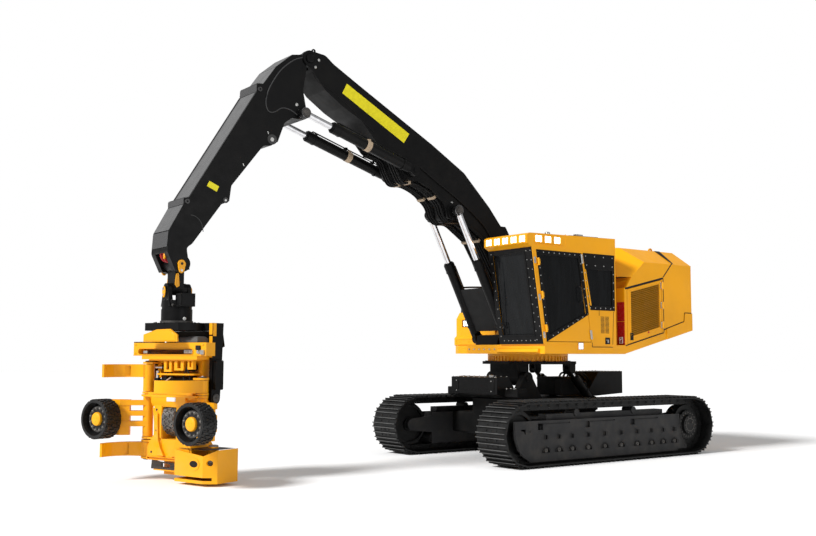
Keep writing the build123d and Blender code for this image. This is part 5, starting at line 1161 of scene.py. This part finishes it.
# Edge welds in the lighter grey: painted highlight along the front plate's edges.
edge = Piece()
for y in (-0.262, 0.262):
    edge.tube([Vector((x + 0.008, y, z + 0.005)) for x, z in STICK_FRONT], 0.009, 8)
edge.put("stick_edge_welds", "stick", weld_highlight_grey)
sheets = Piece()
for first, last in (
    ((4.9, 6.246), (5.058, 6.216)), ((5.064, 6.212), (5.33, 5.986)), ((5.334, 5.98), (5.536, 5.696)),
    ((5.546, 5.692), (5.638, 5.683)), ((5.642, 5.676), (5.642, 5.566)), ((5.646, 5.556), (6.654, 3.916)),
    ((6.664, 3.902), (6.736, 3.893)), ((6.742, 3.886), (6.742, 3.804)), ((6.746, 3.794), (6.948, 3.425)),
    ((6.952, 3.412), (6.968, 3.2))
):
    (x0, z0), (x1, z1) = first, last
    away = Vector((z0 - z1, 0, x1 - x0)).normalized()
    sheets.plate([(x0, -0.258, z0), (x0, 0.258, z0), (x1, 0.258, z1), (x1, -0.258, z1)], away * 0.004)
sheets.put("stick_front_sheen_sheets", "stick", painted_sheen_paint)

# Pin plates at the end of the stick, amber, with a bore cover and one bolt
pin_plates, pin_dots, pin_bolts = Piece(), Piece(), Piece()
for side in (1, -1):
    y, out = side * BOOM_SIDE, LEFT * side
    oval = []
    for angle in turns(28):
        narrow = 0.058 if sin(angle) > 0 else 0.05
        oval.append(Vector((
            6.766 + narrow * cos(angle), y, 2.96 + (0.068 if sin(angle) > 0 else 0.115) * sin(angle))))
    pin_plates.plate(oval, out * 0.03)
    pin_dots.turned((6.766, y + side * 0.03, 2.975), out, capped(0.018, 0.006, 0.008, 0.012), 20)
    pin_bolts.bolt((6.768, y + side * 0.03, 2.882), out, 0.012)
pin_plates.put("stick_pin_plates", "stick", amber_head, 0.004)
pin_dots.put("stick_pin_dots", "stick", rubber)
pin_bolts.put("stick_pin_bolts", "stick", zinc)
mouth, tips = Piece(), Piece()
mouth.pipe([(6.9, 0.1, 3.2), (6.93, 0.085, 3.12), (6.9, 0.06, 3.04), (6.83, 0.04, 3.01)], 5, 0.022)
mouth.pipe([(6.9, -0.02, 3.22), (6.93, -0.03, 3.13), (6.89, -0.05, 3.05), (6.82, -0.05, 3.02)], 5, 0.02)
mouth.put("stick_tip_pipes", "stick", red)
tips.turned((6.915, 0.035, 3.235), (0.4, 0, -1), ((0, 0.03), (0.05, 0.03), (0.06, 0.02), (0.1, 0.018)), 18)
tips.turned(
    (6.925, 0.13, 3.13), (0.3, 0, -1), ((0, 0.026), (0.05, 0.026), (0.06, 0.018), (0.09, 0.016)), 18)
tips.put("stick_tip_fittings", "stick", amber_head)

# Link and rotator: amber pin plates, ring of bolts, ports and box trim
plates, bolts = Piece(), Piece()
for end in (1, -1):
    face_x = HEAD_X + end * 0.19
    drop = []
    for angle in turns(24):
        drop.append(Vector((
            face_x, 0.046 * cos(angle), 2.615 + (0.062 if sin(angle) > 0 else 0.095) * sin(angle))))
    plates.plate(drop, FRONT * end * 0.014)
    bolts.bolt((face_x + end * 0.014, 0, 2.56), FRONT * end, 0.011)
    bolts.turned((face_x + end * 0.014, 0, 2.64), FRONT * end, ((0, 0.02), (0.008, 0.018)), 20)
plates.put("cross_pin_plates", "link", amber_head, 0.003)
bolts.put("cross_pin_bolts", "link", zinc)
drops = Piece()
for side in (1, -1):
    outline = [(6.735, 2.86), (6.775, 2.845), (6.79, 2.7), (6.76, 2.655), (6.72, 2.68)]
    drops.plate(side_points(outline, side * 0.13), LEFT * side * 0.012)
drops.put("link_side_plates", "link", amber_head, 0.003)
rings, bolts = Piece(), Piece()
rings.washer((HEAD_X, 0, 2.4703), UP, 0.203, 0.165, 0.014, 44)
for angle in turns(16):
    bolts.bolt((HEAD_X + 0.184 * cos(angle), 0.184 * sin(angle), 2.4843), UP, 0.011)
for angle in (0.9, 1.5, 2.2):
    start = Vector((HEAD_X + 0.2 * cos(angle), 0.2 * sin(angle), 2.415))
    bolts.turned(
        start, (cos(angle), sin(angle), 0), ((0, 0.02), (0.016, 0.02), (0.024, 0.014), (0.05, 0.014)), 16)
rings.put("rotator_ring", "rotator", black, 0.002)
bolts.put("rotator_bolts", "rotator", bare_dark)
box_trim = Piece()
box_trim.rim(at_x, 6.795, (0.19, 2.4, 0.36, 2.56), (0.205, 2.415, 0.345, 2.545), FRONT * 0.005)
box_trim.rim(side_points, 0.37, (6.6, 2.4, 6.78, 2.56), (6.615, 2.415, 6.765, 2.545), LEFT * 0.005)
box_trim.put("valve_box_trim", "rotator", black, 0.002)

# -------------------------------------------------------------------- head
TOP_FACE = 0.13
TOP_LID = 1.9005
SLOT_Z = 1.778
SPINE_FACE = 0.09
YOKE_FACE = 0.5935
WHEEL_SIDE = 0.9
WHEEL_Z = 0.85
hanger_bits, plate_dot = Piece(), Piece()
hanger_bits.washer((HEAD_X, 0, 2.1702), UP, 0.225, 0.2135, 0.03, 48)
for angle in turns(12):
    hanger_bits.bolt((HEAD_X + 0.3 * cos(angle), 0.3 * sin(angle), 2.17), UP, 0.013)
hanger_bits.put("hanger_bolts", "hanger", bare_dark)
dot_way = Vector((cos(radians(95)), sin(radians(95)), 0))
dot_place = Vector((HEAD_X, 0, 2.228)) + dot_way * 0.212
plate_dot.turned(dot_place, dot_way, capped(0.024, 0.01, 0.014, 0.018), 8)
plate_dot.put("rotator_plug", "hanger", white)
arm_plates, cover = Piece(), Piece()
arm_plates.plate(head_front(rect(0.538, 2.01, 0.592, 2.168), -0.099), HEAD_FRONT * 0.012)
arm_plates.plate(head_front(rect(0.54, 1.7, 0.592, 1.99), -0.099), HEAD_FRONT * 0.01)
arm_plates.plate(head_side(rect(-0.165, 1.99, -0.105, 2.168), YOKE_FACE), HEAD_LEFT * 0.006)
arm_plates.put("yoke_arm_plates", "hanger", amber_head, 0.002)
Piece().skin([
    head_side([(-0.375, 1.75 + drop), (-0.362, 1.75 + drop), (-0.318, 2.064), (-0.331, 2.064)], s)
    for s, drop in ((-0.56, 0.1), (-0.3, 0.0), (0.3, 0.0), (0.56, 0.1))
]).put("yoke_back_wall", "hanger", black)
# Tilt cylinder cover: its lighter grey is partly a painted highlight.
cover.plate(head_side(rect(-0.262, 1.268, -0.118, 1.652), YOKE_FACE), HEAD_LEFT * 0.018)
for z in (1.29, 1.63):
    for f in (-0.25, -0.13):
        cover.bolt(head(f, 0.6115, z), HEAD_LEFT, 0.009)
cover.put("tilt_cylinder_cover", "hanger", grey_cover_and_highlight, 0.006)
caps = Piece()
for side in (1, -1):
    caps.turned(head(-0.18, side * 0.593, 1.15), HEAD_LEFT * side, capped(0.06, 0.012, 0.02, 0.048), 28)
    caps.bolt(head(-0.18, side * 0.613, 1.15), HEAD_LEFT * side, 0.014)
caps.put("tilt_pin_caps", "hanger", bare_dark)

# Top box: lips, cover, manifold and pipes inside its slot
def slot_edge(radius):
    """Line round the slot in the top box's face, with this radius at its ends."""
    edge = []
    for centre, first in ((0.421, -90), (-0.561, 90)):
        for step in range(9):
            angle = radians(first + 22.5 * step)
            edge.append(head(TOP_FACE, centre + radius * cos(angle), SLOT_Z + radius * sin(angle)))
    return edge


box = Piece()
box.frame(slot_edge(0.046), slot_edge(0.0385), HEAD_FRONT * 0.01)
box.plate(head_front(rect(-0.7, 1.722, 0.7, 1.732), TOP_FACE), HEAD_FRONT * 0.006)
for s in (-0.66, 0.64):
    for z in (1.75, 1.87):
        box.bolt(head(TOP_FACE, s, z), HEAD_FRONT, 0.012)
box.put("top_box_lips", "head", amber_head, 0.002)
fittings = Piece()
fittings.block(head(0.075, 0.36, SLOT_Z), (0.06, 0.2, 0.05), HEAD_TURN)
fittings.block(head(0.075, -0.5, 1.772), (0.05, 0.08, 0.04), HEAD_TURN)
for s in (0.29, 0.33, 0.37, 0.41):
    fittings.turned(head(0.1, s, SLOT_Z), HEAD_FRONT, capped(0.014, 0.012, 0.02, 0.01), 12)
fittings.put("slot_manifold", "head", zinc, 0.004)
pipes = Piece()
for lift in (0.018, 0.0, -0.018):
    pipes.pipe([
        head(0.07, 0.25, SLOT_Z + lift), head(0.06, 0.0, 1.77 + lift), head(0.07, -0.25, 1.776 + lift),
        head(0.08, -0.47, 1.774 + lift)], 5, 0.007, 8)
pipes.put("slot_pipes", "head", rubber)
Piece().skin([
    head_top(rect(0.1, 0.115, 0.52, -0.13), TOP_LID), head_top(rect(0.115, 0.1, 0.505, -0.115), 1.955),
    head_top(rect(0.145, 0.07, 0.475, -0.085), 1.985)]).put("valve_cover", "head", grey_cover_and_highlight, 0.008)
strip = Piece()
strip.plate(head_top(rect(-0.7, 0.13, -0.335, 0.06), TOP_LID), UP * 0.014)
strip.plate(head_front(rect(0.52, 1.8, 0.6, 1.86), 0.131), HEAD_FRONT * 0.02)
strip.put("top_box_strip", "head", rubber, 0.003)
strip = Piece()
strip.turned(head(0.12, 0.555, 1.775), HEAD_FRONT, capped(0.028, 0.02, 0.03, 0.018), 20)
strip.block(head(0.142, 0.64, 1.77), (0.03, 0.07, 0.06), HEAD_TURN)
strip.bolt(head(TOP_FACE, -0.28, 1.925), UP, 0.012)
strip.put("top_box_fittings", "head", zinc, 0.004)

# Open bay: ribs, knife cylinders and pipes
ribs = Piece()
for s, half, low, high in (
    (-0.07, 0.075, 1.5, 1.718), (0.145, 0.09, 1.52, 1.718), (0.36, 0.052, 1.535, 1.718)
):
    ribs.rim(
        head_front, 0.02, (s - half, low, s + half, high),
        (s - half * 0.35, low + 0.03, s + half * 0.35, high - 0.05), HEAD_FRONT * 0.06)
for low, first, last, reach in (
    (1.455, -0.3, 0.4, 0.085), (1.345, -0.18, 0.4, 0.06), (1.29, -0.2, 0.44, 0.085)
):
    ribs.skin([
        head_top([
            (first, -0.075), (first, reach - 0.03), (first + 0.06, reach), (last - 0.05, reach),
            (last, reach - 0.04), (last, -0.075)], z)
        for z in (low, low + 0.024)])
ribs.skin([
    head_top([(-0.19, -0.075), (-0.19, 0.03), (0.1, 0.08), (0.4, 0.03), (0.4, -0.075)], z)
    for z in (1.2185, 1.285)])
ribs.put("bay_ribs", "head", amber_head, 0.004)
cylinders, shafts = Piece(), Piece()
cylinders.turned(
    head(0.0, -0.345, 1.222), UP, ((0, 0.05), (0.02, 0.054), (0.15, 0.054), (0.165, 0.046), (0.19, 0.046)),
    24)
cylinders.turned(
    head(-0.02, -0.24, 1.56), HEAD_LEFT, ((0, 0.045), (0.55, 0.045), (0.56, 0.052), (0.6, 0.052)), 24)
cylinders.turned(
    head(-0.02, -0.24, 1.4), HEAD_LEFT, ((0, 0.042), (0.55, 0.042), (0.56, 0.048), (0.6, 0.048)), 24)
cylinders.put("knife_barrels", "head", black)
shafts.turned(head(-0.02, -0.4, 1.56), HEAD_LEFT, disc(0.022, 0.17), 20)
shafts.turned(head(-0.02, -0.4, 1.4), HEAD_LEFT, disc(0.02, 0.17), 20)
shafts.turned(head(0.0, -0.345, 1.412), UP, disc(0.026, 0.1), 20)
shafts.put("knife_rods", "head", chrome)
pipes = Piece()
for s, lift, sway in (
    (-0.13, 0.0, 0.03), (-0.08, 0.01, 0.05), (-0.02, 0.0, -0.02), (0.24, 0.01, 0.03), (0.3, 0.0, -0.03)
):
    pipes.pipe([
        head(-0.03, s, 1.64), head(0.04, s + sway, 1.56 + lift), head(0.05, s - sway, 1.43),
        head(0.03, s + sway * 0.5, 1.34), head(-0.05, s, 1.3)], 5, 0.01, 8)
pipes.put("bay_pipes", "head", rubber)
Piece().pipe([
    head(0.075, -0.255, 1.25), head(0.092, -0.18, 1.32), head(0.095, -0.11, 1.36), head(0.088, 0.005, 1.425)
], 6, 0.009, 8).put("bay_pale_pipe", "head", band_tan)

# Cross plate: blank plate and apron; caps of the head's pivots
blank = Piece()
blank.plate(head_front(rect(-0.02, 1.1, 0.15, 1.155), TOP_FACE), HEAD_FRONT * 0.004)
cross = Piece()
cross.plate([
    head(SPINE_FACE, -0.3, 1.06), head(SPINE_FACE, 0.3, 1.06), head(0.128, 0.27, 1.15),
    head(0.128, -0.27, 1.15)], UP * 0.004 + HEAD_FRONT * 0.004)
cross.skin([
    head_side([(0.09, 1.02), (0.127, 1.085), (0.1295, 1.184), (0.09, 1.184)], s)
    for s in (-0.33, -0.15, 0.15, 0.33)])
cross.put("cross_plate_apron", "head", amber_head, 0.004)
blank.put("head_blank_plate", "head", white, 0.002)
pin_tops, pin_bolts = Piece(), Piece()
for s, z, out in (
    (-0.52, 1.6345, 1), (-0.52, 1.1905, -1), (0.52, 1.4245, 1), (0.52, 1.1905, -1), (-0.52, 0.5545, 1),
    (-0.52, 0.2955, -1), (0.52, 0.5655, -1), (0.52, 1.1845, 1), (-0.52, 0.5655, -1)
):
    pin_tops.turned(head(0, s, z), UP * out, capped(0.056, 0.01, 0.016, 0.046), 24)
    pin_bolts.bolt(head(0, s, z + out * 0.016), UP * out, 0.012)
pin_tops.put("pivot_caps", "head", bare_dark)
pin_bolts.put("pivot_bolts", "head", zinc)

# Spine: plates beside the roller, gussets, low tongue and bolts
spine = Piece()
for side in (1, -1):
    spine.plate(head_front([
        (side * 0.142, 0.59), (side * 0.285, 0.65), (side * 0.285, 1.05), (side * 0.142, 1.05)
    ], SPINE_FACE), HEAD_FRONT * 0.014)
    spine.plate(head_front([
        (side * 0.1, 0.34), (side * 0.4, 0.33), (side * 0.4, 0.455), (side * 0.26, 0.59),
        (side * 0.15, 0.56)], SPINE_FACE), HEAD_FRONT * 0.01)
spine.rim(head_front, SPINE_FACE, (-0.41, 0.3, 0.41, 0.34), (-0.39, 0.308, 0.39, 0.332), HEAD_FRONT * 0.03)
spine.put("spine_plates", "head", amber_head, 0.004)
gusset = Piece()
for side in (1, -1):
    edge = ((0.335, 1.02), (0.3, 0.8), (0.255, 0.68), (0.34, 0.575), (0.315, 0.47), (0.28, 0.36))
    fold = ((0.19, 0.93), (0.186, 0.8), (0.18, 0.68), (0.172, 0.58), (0.13, 0.47), (0.06, 0.36))
    gusset.skin([
        [head(0.0905, side * a, u), head(0.132, side * b, v), head(0.0905, side * b, v)]
        for (a, u), (b, v) in zip(edge, fold)])
gusset.put("spine_gussets", "head", amber_head)
Piece().frame(
    [
        head(-0.045, s, z)
        for s, z in (
            (-0.47, 0.277), (-0.32, 0.254), (0.06, 0.246), (0.06, 0.152), (-0.3, 0.152), (-0.485, 0.152))],
    [
        head(-0.045, s, z)
        for s, z in (
            (-0.275, 0.236), (-0.22, 0.238), (-0.11, 0.232), (-0.11, 0.186), (-0.2, 0.178), (-0.275, 0.186))
    ],
    HEAD_FRONT * -0.03).put("low_tongue", "head", bare_dark, 0.002)
marks = Piece()
for side in (1, -1):
    for z in (0.7, 0.98):
        marks.bolt(head(0.104, side * 0.235, z), HEAD_FRONT, 0.012)
    marks.bolt(head(0.1, side * 0.33, 0.4), HEAD_FRONT, 0.012)
marks.put("spine_bolts", "head", bare_dark)

# Raised panel on the guard plate
GUARD = ((-0.318, 1.912), (-0.318, 2.01), (-0.06, 2.078), (0.19, 2.083), (0.325, 2.005), (0.335, 1.912))
Piece().plate([
    head(0.3051, s * 0.9, 1.926 + (z - 1.912) * 0.86) for s, z in GUARD
], HEAD_FRONT * 0.006).put("yoke_guard_panel", "hanger", amber_head, 0.003)

# Feed wheels: amber caps, flanges, hub studs, rim edges and rows of tread studs
for side, hand in SIDES:
    body = "wheel_" + hand
    centre = head(0, side * WHEEL_SIDE, WHEEL_Z)
    cap, bolts, studs, rim = Piece(), Piece(), Piece(), Piece()
    cap.turned(
        centre + HEAD_FRONT * 0.5601, HEAD_FRONT,
        ((0, 0.094), (0.02, 0.094), (0.034, 0.086), (0.042, 0.07), (0.044, 0.03)), 36)
    # Flange, with dark discs on it as painted shade of its bolt holes.
    flange, holes = Piece(), Piece()
    flange.washer(centre + HEAD_FRONT * 0.54, HEAD_FRONT, 0.176, 0.128, 0.021, 48)
    for angle in turns(12):
        first = HEAD_LEFT * cos(angle) + UP * sin(angle)
        holes.turned(
            centre + first * 0.136 + HEAD_FRONT * 0.561, HEAD_FRONT, ((0, 0.017), (0.002, 0.016)), 14)
        first = HEAD_LEFT * cos(angle + pi / 12) + UP * sin(angle + pi / 12)
        bolts.turned(
            centre + first * 0.152 + HEAD_FRONT * 0.561, HEAD_FRONT,
            ((0, 0.011), (0.003, 0.011), (0.003, 0.008), (0.01, 0.008), (0.013, 0.005)), 10)
    flange.put("wheel_flange_" + hand, body, bare_dark, 0.002)
    holes.put("flange_hole_shades_" + hand, body, hole_shade_paint)
    for step in range(3):
        angle = 2 * pi * step / 3 + 0.5
        cap.bolt(
            centre + (HEAD_LEFT * cos(angle) + UP * sin(angle)) * 0.03 + HEAD_FRONT * 0.602, HEAD_FRONT,
            0.007)
    rim.washer(centre + HEAD_FRONT * 0.624, HEAD_FRONT, 0.2625, 0.226, 0.006, 60)
    for row in range(4):
        for angle in turns(34, 0.5 * (row % 2)):
            out = HEAD_LEFT * cos(angle) + UP * sin(angle)
            across = HEAD_FRONT.cross(out)
            place = centre + out * 0.2605 + HEAD_FRONT * (0.407 + 0.062 * row)
            studs.skin([
                [
                    place + out * up + HEAD_FRONT * a * long + across * b * wide
                    for a, b in rect(-1, -1, 1, 1)]
                for up, long, wide in ((0, 0.026, 0.011), (0.0145, 0.021, 0.006))])
    cap.put("wheel_cap_" + hand, body, amber_head, 0.002)
    bolts.put("hub_studs_" + hand, body, bare_metal)
    studs.put("tread_studs_" + hand, body, stud_metal)
    rim.put("wheel_rim_" + hand, body, stud_metal, 0.002)
studs = Piece()
for row in range(7):
    for angle in turns(34, 0.5 * (row % 2)):
        out = HEAD_FRONT * cos(angle) + UP * sin(angle)
        place = head(-0.095, -0.096 + 0.032 * row, WHEEL_Z) + out * 0.2205
        studs.turned(place, out, ((0, 0.011), (0.01, 0.009), (0.0138, 0.004)), 6)
studs.put("roller_studs", "spine_roller", stud_pale)

# Feed arms: bolts, end rings and wear plates
for side, hand in SIDES:
    arm = Piece()
    for z in (0.81, 0.955, 1.1):
        arm.bolts(head(0.235, side * 0.735, z), head(0.235, side * 0.845, z), 2, UP, 0.01)
    arm.washer(head(0.375 - 0.012, side * WHEEL_SIDE, WHEEL_Z), -HEAD_FRONT, 0.112, 0.105, 0.01, 36)
    arm.put("arm_bolts_" + hand, "arm_" + hand, bare_dark)
    arm = Piece()
    arm.turned(head(0, side * 0.52, 1.1502), UP, disc(0.07, 0.003), 24)
    for z in (0.775, 0.92, 1.065):
        arm.plate(
            [
                head(0.048, side * 0.48, z - 0.036), head(0.233, side * 0.704, z - 0.036),
                head(0.233, side * 0.704, z + 0.036), head(0.048, side * 0.48, z + 0.036)],
            (HEAD_FRONT * 0.78 - HEAD_LEFT * side * 0.62) * 0.004)
    arm.put("arm_wear_plates_" + hand, "arm_" + hand, amber_head, 0.003)

# Saw box: dark top, oval eye, motor, tank cap and chain
Piece().plate([
    head(f, s, 0.4805)
    for f, s in ((-0.3, 0.19), (0.112, 0.19), (0.146, 0.705), (0.045, 0.85), (-0.3, 0.85))
], UP * 0.003).put("saw_box_top", "head", black, 0.001)


def saw_face(s, z, out=0.001):
    """A point just in front of the saw box's face."""
    return head(0.13 + 0.04 * (s - 0.16) / 0.56 + out, s, z)


# The saw box's eye is a dark oval plate, painted shade inside the opening, in an amber rim plate.
eye, eye_rim = Piece(), Piece()
around = turns(32)
eye.plate([
    saw_face(0.545 + 0.082 * cos(a), 0.29 + 0.046 * sin(a), 0.0015) for a in around], HEAD_FRONT * 0.002)
eye_rim.frame(
    [saw_face(0.545 + 0.108 * cos(a), 0.288 + 0.084 * sin(a)) for a in around],
    [saw_face(0.545 + 0.08 * cos(a), 0.29 + 0.044 * sin(a)) for a in around], HEAD_FRONT * 0.006)
eye.put("saw_box_eye", "head", hole_shade_paint)
eye_rim.put("saw_box_eye_plate", "head", amber_head, 0.001)
drum = Piece()
drum.turned(head(-0.15, 0.6, 0.5), UP, capped(0.066, 0.016, 0.024, 0.05), 28)
drum.turned(head(-0.02, 0.66, 0.12), UP, capped(0.11, 0.18, 0.2, 0.095), 32)
drum.put("saw_motor", "head", bare_metal)
Piece().turned(
    head(-0.06, 0.79, 0.24), UP, capped(0.045, 0.09, 0.1, 0.03), 20).put("saw_tank_cap", "head", red)
chain = Piece()
for step in range(26):
    for reach in (-0.056, 0.056):
        place = head(-0.15 + reach, 0.6 - 0.026 * step, 0.1)
        chain.block(place, (0.01, 0.016, 0.013), HEAD_TURN)
chain.put("saw_chain", "saw_bar", bare_metal, 0.001)


# -------------------------------------------------------------------- seat
def cushion(name, middle, size, lean, crown):
    """A padded form: crowned face, pulled-in sides and a sewn channel across it."""
    shape = bmesh.new()
    bmesh.ops.create_cube(shape, size=2)
    bmesh.ops.subdivide_edges(shape, edges=shape.edges, cuts=13, use_grid_fill=True)
    turn = Matrix.Rotation(lean, 3, "Y")
    for corner in shape.verts:
        x, y, z = corner.co
        round_off = (1 - 0.16 * abs(y) ** 6) * (1 - 0.05 * abs(z) ** 4)
        width_off = (1 - 0.14 * abs(x) ** 6) * (1 - 0.05 * abs(z) ** 4)
        swell = (1 - x * x) * (1 - y * y)
        lift = z * (1 - 0.3 * max(abs(x), abs(y)) ** 8)
        if z > 0:
            lift += crown * swell - 0.1 * max(0.0, 1 - (abs(abs(x) - 0.38) / 0.05) ** 2) * (z > 0.9)
        pull = 1 - 0.035 * (1 - (max(abs(x), abs(y))) ** 2)
        place = Vector((
            x * round_off * size[0] / 2, y * width_off * size[1] / 2, lift * pull * size[2] / 2))
        corner.co = Vector(middle) + turn @ place
    data = bpy.data.meshes.new(name)
    shape.to_mesh(data)
    shape.free()
    data.materials.append(cloth)
    data.shade_smooth()
    pad = placed(name, data)
    smooth = pad.modifiers.new("smooth", "SUBSURF")
    smooth.levels = smooth.render_levels = 1
    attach(pad, "house")
    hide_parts("seat_cushions")
    return pad


cushion("seat_pad", (0.12, 0.991, 2.345), (0.475, 0.475, 0.094), 0, 0.22)
cushion("back_pad", (-0.088, 0.991, 2.825), (0.7, 0.45, 0.085), radians(-77), 0.25)


# ------------------------------------------------------- camera and lights
camera = placed("camera", bpy.data.cameras.new("camera"))
camera.data.lens = 44.12
camera.data.sensor_width = 36
camera.location = (12.4775, 13.0123, 1.7426)
sight = Vector((-0.59933, -0.7958, 0.08663))
camera.rotation_euler = (
    Matrix.Rotation(radians(-0.19), 4, sight) @ sight.to_track_quat("-Z", "Y").to_matrix().to_4x4()
).to_euler()
camera.data.clip_end = 200
bpy.context.scene.camera = camera
to_right = sight.cross(Vector((0, 0, 1))).normalized()


def lamp(name, kind, strength, place, target=(1.5, 0, 2.5), **settings):
    data = bpy.data.lights.new(name, kind)
    data.energy = strength
    for key, value in settings.items():
        setattr(data, key, value)
    holder = placed(name, data)
    holder.location = place
    holder.rotation_euler = (Vector(target) - Vector(place)).to_track_quat("-Z", "Y").to_euler()


lamp("sun", "SUN", 3.9, -to_right * 12 - sight * 9 + Vector((0, 0, 14)), angle=radians(14))
lamp("sheen", "AREA", 52, (6.3, -14.0, 12.2), target=(6.1, 0, 4.7), size=9)
lamp("fill", "AREA", 500, -sight * 16 + to_right * 10 + Vector((0, 0, 9)), size=8)
world = bpy.data.worlds.new("studio")
bpy.context.scene.world = world
world.use_nodes = True
sky = world.node_tree
light_path = sky.nodes.new("ShaderNodeLightPath")
seen = sky.nodes.new("ShaderNodeMath")
seen.operation = "MAXIMUM"
sky.links.new(light_path.outputs["Is Camera Ray"], seen.inputs[0])
sky.links.new(light_path.outputs["Is Transmission Ray"], seen.inputs[1])
strength = sky.nodes.new("ShaderNodeMapRange")
strength.inputs["To Min"].default_value = 0.37
strength.inputs["To Max"].default_value = 1.0
sky.links.new(seen.outputs[0], strength.inputs["Value"])
backdrop = sky.nodes["Background"]
backdrop.inputs["Color"].default_value = (1, 1, 1, 1)
sky.links.new(strength.outputs["Result"], backdrop.inputs["Strength"])

floor_shader = Shader("pale_floor")
floor_shader.link(floor_shader.mixed(
    floor_shader.noise(0.4), (0.955, 0.955, 0.955), (0.975, 0.975, 0.975)), "Base Color")
floor_shader.set(Roughness=0.9)
bpy.ops.mesh.primitive_plane_add(size=160)
floor = bpy.context.object
floor.name = "floor"
floor.data.materials.append(floor_shader.material)

bpy.context.scene.view_settings.view_transform = "Standard"
